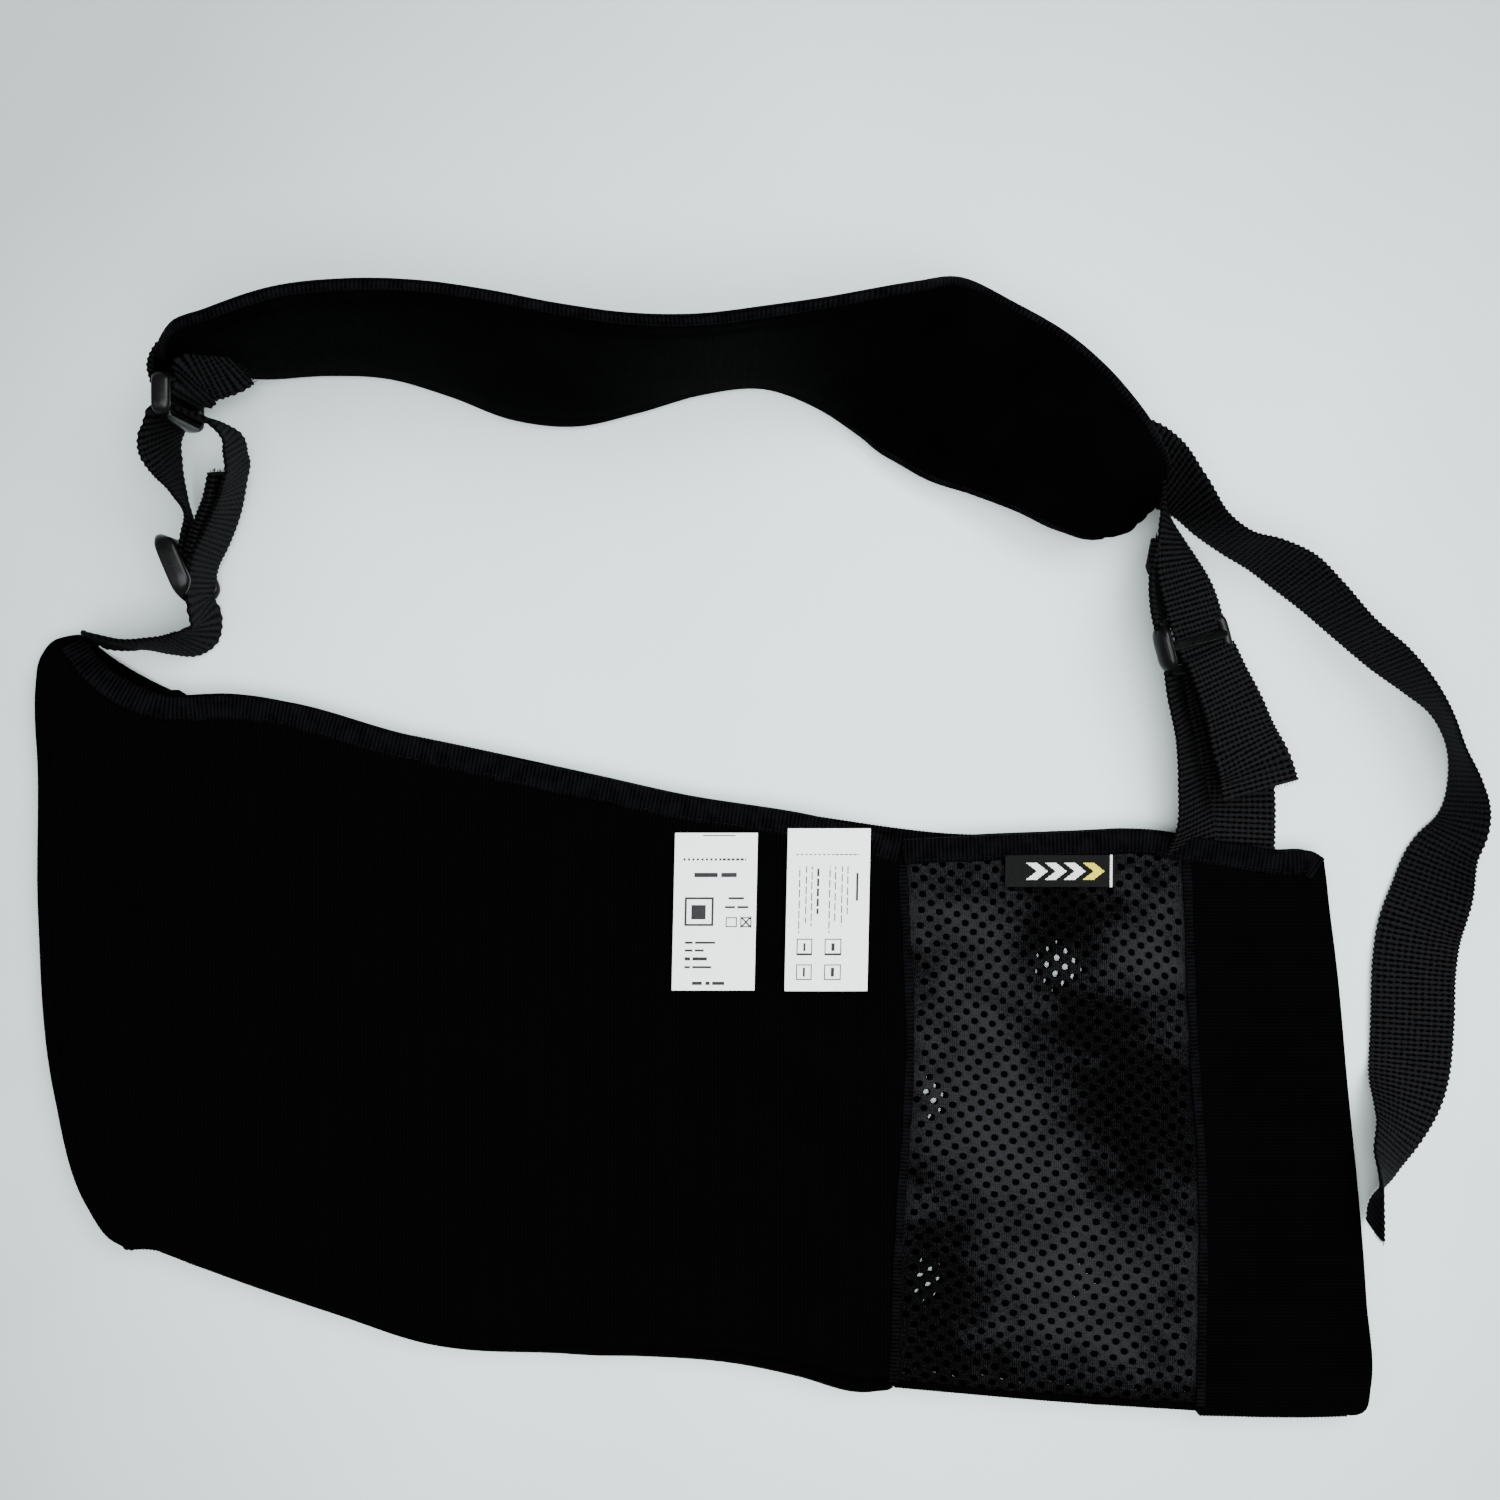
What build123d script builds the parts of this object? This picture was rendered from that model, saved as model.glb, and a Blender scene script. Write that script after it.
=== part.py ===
from build123d import *
import os
from math import cos, radians, sin, sqrt

os.makedirs("parts", exist_ok=True)

# An arm sling lying on a table: a flat forearm pouch with its mouth away from the viewer, and a
# neck strap with a foam shoulder pad that stands half on edge behind it.
# +X runs from the elbow end to the hand end, +Y from the bottom fold to the mouth, +Z up.
# Everything is in millimetres.

CLEAR = 0.4  # gap between pieces that move apart

# The pouch's two layers
LAYER = 1.8  # foam laminate
MESH = 1.0
FRONT_Z = 7.4  # underside of the front layer
FRONT_TOP = FRONT_Z + LAYER
BINDING = 8.0  # binding's height below the mouth's edge
BINDING_WALL = 0.8  # how far the binding stands proud of the layer it wraps
SEAM = 3.0  # width of a flat seam tape
SEAM_WALL = 0.6
END_SEAM = 4.0  # width of the closed elbow end's seam
FOLD = 4.6  # width of the bottom fold

# The webbing and its plastic
WEB = 25.0
WEB_WALL = 1.5
WEB_FOLDED = 3.2  # a folded and stitched end
GLIDE_LONG = 34.0
GLIDE_SHORT = 19.0
GLIDE_RAIL = 3.0
GLIDE_BAR = 1.6
GLIDE_CHANNEL = WEB_WALL + 2 * CLEAR
GLIDE_WALL = GLIDE_CHANNEL + 2 * GLIDE_BAR
RING_LONG = 33.0
RING_SHORT = 14.5
RING_WALL = 4.5
RING_BAR = 3.0
RING_WRAP = 3.1  # inner radius of webbing round a ring's bar
PAD_SLIDER_WALL = 2.6
PAD_SLIDER_WRAP = 2.2

# The shoulder pad
PAD_WALL = 5.0
PAD_COVER = 0.8
PAD_EDGE = 1.6
PAD_GAP = 0.1  # between the pad's own layers
PAD_STAND = 2.2  # the standing edge's height over the table, which its binding fills

# The two ends of the neck strap, sewn to the pouch
LEFT_SEWN = (-217.0, 60.5)
LEFT_SEWN_SIZE = (15.0, 11.0)
RIGHT_SEWN = (154.0, -1.0)
RIGHT_SEWN_LENGTH = 10.0
SEWN_LEAN = -8.0  # how far both are turned from square, in degrees
CORNER_TAB = [(-228.6, 51), (-225, 66.5), (-212, 68), (-208, 62.5), (-208, 51)]
CORNER_TAB_TOP = FRONT_Z - 1.0

# Labels
LABEL_WALL = 0.4
CARE_WIDTH = 26.2
CARE_LENGTH = 51.2
WOVEN_LABEL = (96.6, -7.6)
WOVEN_SIZE = (35.0, 7.0)

# The mouth's edge, from the elbow corner to the hand corner
MOUTH_ELBOW = [
    (-216, 50.5),
    (-205, 47.3),
    (-184, 48.6),
    (-168, 49.5),
    (-150, 47),
    (-114, 37),
    (-79.2, 29.7),
]
MOUTH_MIDDLE = [(-78.8, 29.7), (-50, 23.3), (-24, 17.5), (19, 10.4), (46.3, 4)]
MOUTH_MESH = [(47, 4), (71, 5), (100, 5.6), (125, 6.2), (136.4, 4.5)]
MOUTH_WRIST = [(137, 4.4), (153, 1.8), (168, -0.5), (178, -1.6)]

# The closed sides
ELBOW_END = [(-230.4, 48), (-229.4, 30), (-229.6, -20), (-224.6, -78), (-214, -114), (-204, -127)]
FOLD_MAIN = [
    (-199.4, -127.8),
    (-180, -133),
    (-136, -148.2),
    (-102, -158.5),
    (-8, -164),
    (34, -174.4),
    (43.5, -171),
]
FOLD_MESH = [(44.5, -172), (100, -176.7), (140.8, -179.3)]
FOLD_WRIST = [(141.6, -180.8), (177, -181.3), (190, -181)]

# The panels inside those edges: corners and the points between them
MAIN_TOP = [
    (-224.3, 42),
    (-205, 38.4),
    (-184, 39.6),
    (-168, 40.5),
    (-150, 38),
    (-114, 28),
    (-79, 20.7),
    (-50, 14.3),
    (-24, 8.5),
    (19, 1.4),
    (46.3, -5),
]
MAIN_SEAM = [(46.3, -5), (49, -60), (45.2, -128), (43.4, -165.2)]
MAIN_BOTTOM = [
    (43.4, -165.2),
    (34, -168),
    (-8, -158.4),
    (-102, -152.8),
    (-136, -142.6),
    (-180, -127.2),
    (-199, -122),
]
MAIN_ELBOW = [(-199, -122), (-209, -112), (-219.8, -77), (-224.8, -20), (-224.3, 42)]
MESH_TOP = [(47.1, -4.6), (71, -3.5), (100, -2.9), (125, -2.3), (136.6, -4)]
MESH_SEAM = [(136.6, -4), (138.6, -62), (141.3, -106), (141.3, -150), (140.8, -173.4)]
MESH_BOTTOM = [(140.8, -173.4), (100, -171), (44.4, -166.4)]
MESH_LEFT = [(44.4, -166.4), (46.2, -128), (50, -60), (47.1, -4.6)]
WRIST_TOP = [(137.6, -4.3), (153, -6.8), (168, -9), (177.5, -10.2)]
WRIST_HAND = [
    (177.5, -10.2),
    (183.2, -14),
    (186.8, -34),
    (189.4, -86),
    (193.4, -136),
    (196.4, -170),
    (192, -175.6),
]
WRIST_BOTTOM = [(192, -175.6), (141.9, -175)]
WRIST_LEFT = [(141.9, -175), (142.3, -150), (142.3, -106), (139.6, -62), (137.6, -4.3)]

# Strips: centre x, y, z and the lean of the width, 0 flat and 90 on edge, turned about the heading
LEFT_GLIDE = (-176.4, 90.7, 17.4)
LEFT_RUN = (-0.33, 0.944)  # heading of the straight run through the left glide
RIGHT_GLIDE = (141.0, 65.5, 14.5)
RIGHT_RUN = (0.25, -0.968)
RIGHT_LEAN = -36.0
LEFT_LOWER = [
    (-206, 64.6, 10, 50),
    (-197, 63.6, 12.6, 75),
    (-188, 62.4, 13.3, 88),
    (-180.5, 62, 13.3, 90),
    (-174, 64.2, 13.4, 90),
    (-169.8, 68.4, 13.8, 90),
    (-169.2, 73.2, 14.6, 90),
    (-171.4, 76.5, 17.4, 90),
    (-181.3, 104.8, 17.4, 90),
]
LEFT_OUTER = [
    (-181.8, 106.6, 17.4, 90),
    (-182.8, 109.8, 17.6, 86),
    (-184.6, 115, 19.6, 74),
    (-185.8, 120.4, 23, 64),
    (-185.8, 125, 26, 74),
    (-185, 128.4, 26.6, 86),
]
LEFT_INNER = [
    (-166.8, 127.4, 26.6, 90),
    (-164.2, 124.8, 25.4, 90),
    (-162.2, 121, 23, 90),
    (-161.4, 113, 20, 90),
    (-163.2, 104.5, 18, 90),
    (-166.4, 96.5, 17.4, 90),
    (-168.8, 91.4, 17.4, 90),
]
LEFT_FOLDED = [(-166.8, 117, 19.6, 90), (-168.2, 107, 18, 90), (-170.8, 100.5, 17.4, 90)]
RIGHT_UPPER = [
    (130.2, 104.8, 13.6, -86),
    (131.5, 97, 13.8, -68),
    (134, 89.5, 14.2, -50),
    (136.8, 82, 14.5, RIGHT_LEAN),
    (144.9, 50.5, 14.5, RIGHT_LEAN),
]
TAIL_FLAP = [
    (145.6, 48, 14.6, RIGHT_LEAN),
    (151.5, 37, 15.5, -40),
    (157, 28, 15.5, -42),
    (161.5, 20.5, 14.8, -44),
]
RIGHT_UNDER = [(124.8, 97, 13.4, 92), (124.3, 86, 13.4, 92), (125.5, 77, 13.4, 88)]
RIGHT_FOLDED = [(123.4, 103, 13.6, 92), (124.6, 98, 13.4, 92)]
RIGHT_FLAT_LEG = [
    (147.5, 49, 7.5, -20),
    (150.5, 38, 6.5, -22),
    (153.5, 26, 4.8, -15),
    (154.3, 15, 3.7, -5),
    (154, 5.8, 3.7, 0),
]
RIGHT_EDGE_LEG = [(131.4, 50, 13.4, 100), (134.2, 36, 13.4, 98), (135, 22, 13.4, 98), (135.5, 9, 13.4, 100)]
TAIL_ROOT = [(134.4, 120.6, 12.2, 60), (136.6, 117.6, 12.2, 62), (138.8, 114.6, 12.2, 63)]
FREE_TAIL = [
    (144.4, 105.7, 11.9, 64),
    (158.8, 94.1, 11.7, 61),
    (172.6, 86.1, 10.7, 50),
    (182.8, 76.6, 11, 53),
    (199, 61.6, 12, 62),
    (211.7, 50.9, 12.7, 70),
    (218.9, 41.7, 13.3, 82),
    (221.1, 35.4, 13.4, 86),
    (224.1, 23.1, 13, 74),
    (225, 15.5, 12, 60),
    (222.8, 6.6, 11.2, 55),
    (219.8, 1.4, 10, 48),
    (217.4, -6.4, 6.2, 24),
    (215.3, -16.7, 2.4, 5),
    (212.2, -32.8, 1.4, 0),
    (211, -48.9, 1.4, 0),
    (210.4, -71.4, 2.4, -5),
    (209.3, -82.5, 6.4, -25),
    (207, -91, 9.4, -42),
    (202.5, -101.5, 12.3, -65),
    (197, -111.5, 12.8, -70),
]

# The pad: its standing edge x, y, its other edge x, y, its width and its height over PAD_STAND
PAD = [
    (-174.6, 153.4, -174.2, 153.6, 34, 12),
    (-168, 153.4, -168.2, 153.4, 54, 2),
    (-157.6, 152.5, -157.6, 156.4, 62, 0),
    (-137.6, 153.5, -137.6, 163.2, 62, 0),
    (-117.6, 152.8, -117.6, 165.7, 62, 0),
    (-97.6, 146.9, -97.6, 165.8, 62, 0),
    (-77.6, 139.4, -77.6, 163.6, 62, 0),
    (-57.6, 137.5, -57.6, 159.3, 62, 0),
    (-37.6, 142.1, -37.6, 155.8, 62, 0),
    (-17.6, 147.8, -17.6, 155, 62, 0),
    (2.4, 149.7, 2.4, 157.1, 62, 0),
    (20, 143, 24.5, 160.5, 62, 0),
    (33, 134, 48, 168.5, 62, 0),
    (43, 126.3, 67, 177.5, 62, 0),
    (54.5, 119.8, 82, 174.3, 62, 0.5),
    (68.5, 114.8, 101, 162.3, 58, 3),
    (83, 108.5, 117, 145.3, 51, 7),
    (96, 102, 126, 128.3, 41, 9),
    (107.5, 99.5, 127.6, 118.3, 29, 9),
    (116.6, 103.1, 123.6, 110.3, 10.5, 9),
]

# The slider under the pad's hand-side end, and the ring at its elbow-side end
PAD_SLIDER = (115.5, 126.0, 3.9)
PAD_SLIDER_ACROSS = (0.11, -0.994)
PAD_SLIDER_BARS = 8.0  # from its middle to each outer bar
RING = (-176.0, 137.5, 29.5)
RING_BARS = (RING_SHORT - RING_BAR) / 2  # from its middle to each long bar
RING_LOOP_REACH = 2.2  # between the two bends of the pad's loop
SLIDER_LOOP_REACH = 12.0


def finish(builder, name):
    """Label a finished piece and write it."""
    builder.part.label = name
    export_step(builder.part, f"parts/{name}.step")


def section_planes(strip):
    """A plane at each station of a strip, square to its run, with x across its width."""
    points = [Vector(x, y, z) for x, y, z, lean in strip]
    planes = []
    for i, (x, y, z, lean) in enumerate(strip):
        heading = (points[min(i + 1, len(points) - 1)] - points[max(i - 1, 0)]).normalized()
        side = Vector(0, 0, 1).cross(heading).normalized()
        across = side * cos(radians(lean)) + heading.cross(side) * sin(radians(lean))
        planes.append(Plane(origin=points[i], x_dir=across, z_dir=heading))
    return planes


def webbing(name, strip, wall=WEB_WALL):
    """A strip of webbing through its stations."""
    with BuildPart() as piece:
        for plane in section_planes(strip):
            with BuildSketch(plane):
                Rectangle(WEB, wall)
        loft(ruled=True)
    finish(piece, name)


def panel(name, top, seam, bottom, left, z, wall):
    """A flat panel inside four edges, each a smooth curve through its points."""
    with BuildPart() as piece:
        with BuildSketch(Plane.XY.offset(z)):
            with BuildLine():
                for edge in (top, seam, bottom, left):
                    Spline(*edge) if len(edge) > 2 else Line(*edge)
            make_face()
        extrude(amount=wall)
    finish(piece, name)


def band(name, edge, depth, z, wall):
    """A band along an edge: the area between the edge and the same edge moved by depth."""
    across, along = depth
    inner = [(x + across, y + along) for x, y in edge]
    with BuildPart() as piece:
        with BuildSketch(Plane.XY.offset(z)):
            with BuildLine():
                Spline(*edge)
                Line(edge[-1], inner[-1])
                Spline(*reversed(inner))
                Line(inner[0], edge[0])
            make_face()
        extrude(amount=wall)
    finish(piece, name)


def seam_tapes(name, z):
    """The two flat tapes over the seams on either side of the mesh, one solid each."""
    with BuildPart() as piece:
        for seam in (MAIN_SEAM[1:], MESH_SEAM[1:]):
            near = [(x - SEAM / 2, y) for x, y in seam]
            far = [(x + SEAM / 2, y) for x, y in seam]
            with BuildSketch(Plane.XY.offset(z)):
                with BuildLine():
                    Spline(*near)
                    Line(near[-1], far[-1])
                    Spline(*reversed(far))
                    Line(far[0], near[0])
                make_face()
            extrude(amount=SEAM_WALL)
    finish(piece, name)


def pouch_layer(side, z, mesh_z):
    """One layer of the pouch: main panel, mesh panel and wrist panel."""
    panel(f"{side}_main_panel", MAIN_TOP, MAIN_SEAM, MAIN_BOTTOM, MAIN_ELBOW, z, LAYER)
    panel(f"{side}_mesh_panel", MESH_TOP, MESH_SEAM, MESH_BOTTOM, MESH_LEFT, mesh_z, MESH)
    panel(f"{side}_wrist_panel", WRIST_TOP, WRIST_HAND, WRIST_BOTTOM, WRIST_LEFT, z, LAYER)


def closed_edges():
    """The elbow end's seam and the three runs of the bottom fold, which join the two layers."""
    band("elbow_end_seam", ELBOW_END, (END_SEAM, 0), 0, FRONT_TOP)
    band("bottom_fold_main", FOLD_MAIN, (0, FOLD), 0, FRONT_TOP)
    band("bottom_fold_mesh", FOLD_MESH, (0, FOLD), 0, FRONT_TOP - (LAYER - MESH))
    band("bottom_fold_wrist", FOLD_WRIST, (0, FOLD), 0, FRONT_TOP)


def bindings():
    """The elastic binding along the mouth: four runs on the front layer and one on the back."""
    z = FRONT_Z - BINDING_WALL / 2
    wall = LAYER + 2 * BINDING_WALL
    band("front_binding_elbow", MOUTH_ELBOW, (0, -BINDING), z, wall)
    band("front_binding_middle", MOUTH_MIDDLE, (0, -BINDING), z, wall)
    band("front_binding_mesh", MOUTH_MESH, (0, -BINDING), z, wall)
    band("front_binding_wrist", MOUTH_WRIST, (0, -BINDING), z, wall)
    back = MOUTH_ELBOW[2:-1] + MOUTH_MIDDLE[1:-1] + MOUTH_MESH[1:-1] + MOUTH_WRIST[1:]
    band("back_binding", back, (0, 1 - BINDING), 0, LAYER + BINDING_WALL)


def elbow_corner():
    """The corner where the two layers are pinched together and the strap is sewn on."""
    with BuildPart() as tab:
        with BuildSketch():
            with BuildLine():
                Polyline(*CORNER_TAB, close=True)
            make_face()
        extrude(amount=CORNER_TAB_TOP)
    finish(tab, "elbow_corner_tab")
    with BuildPart() as sewn:
        with BuildSketch(Plane.XY.offset(CORNER_TAB_TOP)):
            with Locations(LEFT_SEWN):
                Rectangle(*LEFT_SEWN_SIZE, rotation=SEWN_LEAN)
        extrude(amount=WEB_WALL)
    finish(sewn, "left_anchor_sewn_end")


def right_anchor():
    """The webbing's sewn end on the back layer, inside the mouth."""
    with BuildPart() as sewn:
        with BuildSketch(Plane.XY.offset(LAYER + BINDING_WALL + 0.1)):
            with Locations(RIGHT_SEWN):
                Rectangle(WEB, RIGHT_SEWN_LENGTH, rotation=SEWN_LEAN)
        extrude(amount=WEB_WALL)
    finish(sewn, "right_anchor_sewn_end")


def pad_planes():
    """The pad's section planes, with x across its width, and its width at each."""
    middles = []
    acrosses = []
    for x0, y0, x1, y1, width, lift in PAD:
        run = sqrt((x1 - x0) ** 2 + (y1 - y0) ** 2)
        rise = sqrt(max(width**2 - run**2, 0))
        flatness = min(run / width, 1)
        z = PAD_STAND + lift + PAD_WALL / 2 * flatness
        middles.append(Vector((x0 + x1) / 2, (y0 + y1) / 2, z + rise / 2))
        acrosses.append(Vector(x1 - x0, y1 - y0, rise).normalized())
    planes = []
    for i, (middle, across) in enumerate(zip(middles, acrosses)):
        heading = middles[min(i + 1, len(middles) - 1)] - middles[max(i - 1, 0)]
        heading = (heading - across * heading.dot(across)).normalized()
        planes.append(Plane(origin=middle, x_dir=across, z_dir=heading))
    return [(plane, station[4]) for plane, station in zip(planes, PAD)]


def pad_layer(name, middle, wall, inset):
    """One layer of the pad: middle is its distance from the pad's middle surface."""
    with BuildPart() as layer:
        for plane, width in pad_planes():
            with BuildSketch(plane):
                with Locations((0, middle)):
                    Rectangle(width - 2 * inset, wall)
        loft(ruled=True)
    finish(layer, name)


def pad_edge(name, side):
    """The binding along one long edge of the pad: side is 1 for the raised edge and -1 for the other."""
    with BuildPart() as edge:
        for plane, width in pad_planes():
            with BuildSketch(plane):
                with Locations((side * (width / 2 + PAD_GAP + PAD_EDGE / 2), 0)):
                    Rectangle(PAD_EDGE, PAD_WALL)
        loft(ruled=True)
    finish(edge, name)


def shoulder_pad():
    """A foam core between two covers, with its long edges bound."""
    cover_middle = (PAD_WALL - PAD_COVER) / 2
    foam = PAD_WALL - 2 * PAD_COVER - 2 * PAD_GAP
    pad_layer("pad_foam_core", 0, foam, 0)
    pad_layer("pad_face_cover", cover_middle, PAD_COVER, 0)
    pad_layer("pad_back_cover", -cover_middle, PAD_COVER, 0)
    pad_edge("pad_binding_raised", 1)
    pad_edge("pad_binding_standing", -1)


def tri_glide(name, plane):
    """A tri-glide: two rails, two outer bars on one side of the webbing and a middle bar on the other."""
    bar_length = GLIDE_LONG - 2 * GLIDE_RAIL
    rail_at = (GLIDE_LONG - GLIDE_RAIL) / 2
    side_at = (GLIDE_WALL - GLIDE_BAR) / 2
    outer_at = (GLIDE_SHORT - GLIDE_RAIL) / 2
    with BuildPart(plane) as glide:
        with Locations((-rail_at, 0, 0), (rail_at, 0, 0)):
            Box(GLIDE_RAIL, GLIDE_WALL, GLIDE_SHORT)
        with Locations((0, -side_at, -outer_at), (0, -side_at, outer_at)):
            Box(bar_length, GLIDE_BAR, GLIDE_RAIL)
        with Locations((0, side_at, 0)):
            Box(bar_length, GLIDE_BAR, GLIDE_RAIL)
        rails = glide.edges().filter_by(lambda edge: abs(edge.length - GLIDE_SHORT) < 0.01)
        fillet(rails, GLIDE_RAIL / 3)
    finish(glide, name)


def strip_plane(centre, run, lean):
    """The plane of a straight run of webbing: x across its width, z along it."""
    x, y, z = centre
    stations = [(x - run[0], y - run[1], z, lean), (x, y, z, lean), (x + run[0], y + run[1], z, lean)]
    return section_planes(stations)[1]


def glide_wrap(name, plane):
    """The sewn loop end on the glide's middle bar, on its open side."""
    at = GLIDE_WALL / 2 + WEB_FOLDED / 2
    with BuildPart(plane) as wrap:
        with Locations((0, at, 0)):
            Box(WEB, WEB_FOLDED, 2 * GLIDE_RAIL)
    finish(wrap, name)


def loop_band(name, plane, inner, reach):
    """A webbing loop round a bar: a slot-shaped band, seen along the bar, reaching away from it."""
    outer = inner + WEB_WALL
    with BuildPart() as loop:
        with BuildSketch(plane.offset(-WEB / 2)):
            with Locations((reach / 2, 0)):
                SlotCenterToCenter(reach, 2 * outer)
                SlotCenterToCenter(reach, 2 * inner, mode=Mode.SUBTRACT)
        extrude(amount=WEB)
    finish(loop, name)


def bar_band(name, plane, inner):
    """Webbing wrapped round a bar, seen along the bar."""
    with BuildPart() as wrap:
        with BuildSketch(plane.offset(-WEB / 2)):
            Circle(inner + WEB_WALL)
            Circle(inner, mode=Mode.SUBTRACT)
        extrude(amount=WEB)
    finish(wrap, name)


def pad_ring():
    """The rectangular ring at the pad's elbow-side end, with the loops round its two long bars."""
    opening = (RING_SHORT - 2 * RING_BAR, RING_LONG - 2 * RING_BAR)
    with BuildPart() as ring:
        with BuildSketch(Plane.YZ.offset(RING[0] - RING_WALL / 2)):
            with Locations((RING[1], RING[2])):
                RectangleRounded(RING_SHORT, RING_LONG, RING_BAR)
                Rectangle(*opening, mode=Mode.SUBTRACT)
        extrude(amount=RING_WALL)
    finish(ring, "left_pad_ring")
    near_bar = Plane(origin=(RING[0], RING[1] - RING_BARS, RING[2]), x_dir=(1, 0, 0), z_dir=(0, 0, 1))
    far_bar = Plane(origin=(RING[0], RING[1] + RING_BARS, RING[2]), x_dir=(0.2, 0.98, 0), z_dir=(0, 0, 1))
    bar_band("left_ring_wrap", near_bar, RING_WRAP)
    loop_band("pad_left_end_loop", far_bar, RING_WRAP, RING_LOOP_REACH)


def pad_slider():
    """The flat slider under the pad's hand-side end, with the webbing round its bars."""
    centre = Vector(*PAD_SLIDER)
    across = Vector(*PAD_SLIDER_ACROSS)
    out = Vector(0, 0, 1).cross(across).normalized()
    plane = Plane(origin=centre, x_dir=across, z_dir=(0, 0, 1))
    slot = (GLIDE_LONG - 2 * GLIDE_RAIL, (2 * PAD_SLIDER_BARS - 2 * GLIDE_RAIL) / 2)
    with BuildPart() as slider:
        with BuildSketch(plane.offset(-PAD_SLIDER_WALL / 2)):
            RectangleRounded(GLIDE_LONG, 2 * PAD_SLIDER_BARS + GLIDE_RAIL, GLIDE_RAIL)
            with Locations((0, PAD_SLIDER_BARS / 2), (0, -PAD_SLIDER_BARS / 2)):
                Rectangle(*slot, mode=Mode.SUBTRACT)
        extrude(amount=PAD_SLIDER_WALL)
    finish(slider, "right_pad_slider")
    inner_bar = Plane(origin=centre - out * PAD_SLIDER_BARS, x_dir=out * -1, z_dir=across)
    outer_bar = Plane(origin=centre + out * PAD_SLIDER_BARS, x_dir=out, z_dir=across)
    loop_band("pad_right_end_loop", inner_bar, PAD_SLIDER_WRAP, SLIDER_LOOP_REACH)
    bar_band("right_slider_wrap", outer_bar, PAD_SLIDER_WRAP)


def labels():
    """A woven label under the mesh's binding and two care labels hanging from the mouth."""
    with BuildPart() as woven:
        with BuildSketch(Plane.XY.offset(FRONT_Z + MESH + 0.1)):
            with Locations(WOVEN_LABEL):
                Rectangle(*WOVEN_SIZE)
        extrude(amount=LABEL_WALL)
    finish(woven, "woven_label")
    over_binding = FRONT_TOP + BINDING_WALL + BINDING_WALL / 2 + CLEAR
    for name, x, top in (("care_label_fibre", -13.2, 5.6), ("care_label_maker", 23.4, 6.6)):
        with BuildPart() as label:
            with BuildSketch(Plane.XY.offset(over_binding)):
                with Locations((x, top - CARE_LENGTH / 2)):
                    Rectangle(CARE_WIDTH, CARE_LENGTH)
            extrude(amount=LABEL_WALL)
        finish(label, name)


# The pouch
pouch_layer("back", 0, 0)
pouch_layer("front", FRONT_Z, FRONT_Z)
closed_edges()
bindings()
seam_tapes("front_seam_tapes", FRONT_TOP + 0.1)
seam_tapes("back_seam_tapes", LAYER + 0.1)
elbow_corner()
right_anchor()
labels()

# The neck strap's elbow side
webbing("left_strap_lower", LEFT_LOWER)
webbing("left_loop_outer", LEFT_OUTER)
webbing("left_loop_inner", LEFT_INNER)
webbing("left_loop_folded_end", LEFT_FOLDED)
left_glide_plane = strip_plane(LEFT_GLIDE, LEFT_RUN, 90)
tri_glide("left_tri_glide", left_glide_plane)
glide_wrap("left_glide_wrap", left_glide_plane)
pad_ring()

# The pad
shoulder_pad()
pad_slider()

# The neck strap's hand side
webbing("right_strap_upper", RIGHT_UPPER)
webbing("right_strap_under_layer", RIGHT_UNDER)
webbing("right_strap_folded_end", RIGHT_FOLDED, WEB_FOLDED)
webbing("right_anchor_flat_leg", RIGHT_FLAT_LEG)
webbing("right_anchor_edge_leg", RIGHT_EDGE_LEG)
webbing("strap_tail_flap", TAIL_FLAP)
tri_glide("right_tri_glide", strip_plane(RIGHT_GLIDE, RIGHT_RUN, RIGHT_LEAN))
webbing("free_tail_root", TAIL_ROOT)
webbing("free_tail", FREE_TAIL)
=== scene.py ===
"""An arm sling lying on a pale table: a knit and mesh forearm pouch, a webbing neck strap and a shoulder pad.

Lengths are in millimetres in the row frame and turn into metres where a mesh is made.
"""

from math import atan, cos, inf, pi, radians, sin, sqrt

import bpy
import numpy as np
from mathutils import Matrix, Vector, noise


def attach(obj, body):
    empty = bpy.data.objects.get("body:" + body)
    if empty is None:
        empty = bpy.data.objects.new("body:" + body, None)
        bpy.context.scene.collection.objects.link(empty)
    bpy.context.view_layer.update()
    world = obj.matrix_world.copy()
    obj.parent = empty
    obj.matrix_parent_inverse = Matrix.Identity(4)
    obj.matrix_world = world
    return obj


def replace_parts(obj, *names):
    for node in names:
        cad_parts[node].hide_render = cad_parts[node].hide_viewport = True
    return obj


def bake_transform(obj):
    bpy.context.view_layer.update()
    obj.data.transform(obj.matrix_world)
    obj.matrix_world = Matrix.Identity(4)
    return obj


NOISE_SEED = 1  # without a seed, noise vectors come out differently at each run
noise.seed_set(NOISE_SEED)

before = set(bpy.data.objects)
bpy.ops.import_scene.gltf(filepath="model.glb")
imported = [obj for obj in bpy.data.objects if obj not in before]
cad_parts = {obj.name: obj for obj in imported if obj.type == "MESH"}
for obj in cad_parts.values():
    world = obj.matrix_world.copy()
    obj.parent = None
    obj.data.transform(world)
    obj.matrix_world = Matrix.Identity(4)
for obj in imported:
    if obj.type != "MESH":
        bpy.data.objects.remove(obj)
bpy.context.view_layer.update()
MM = 0.001
TABLE_GAP = 0.1  # the least height of any cloth over the table

# ---------------------------------------------------------------- sizes

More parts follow.
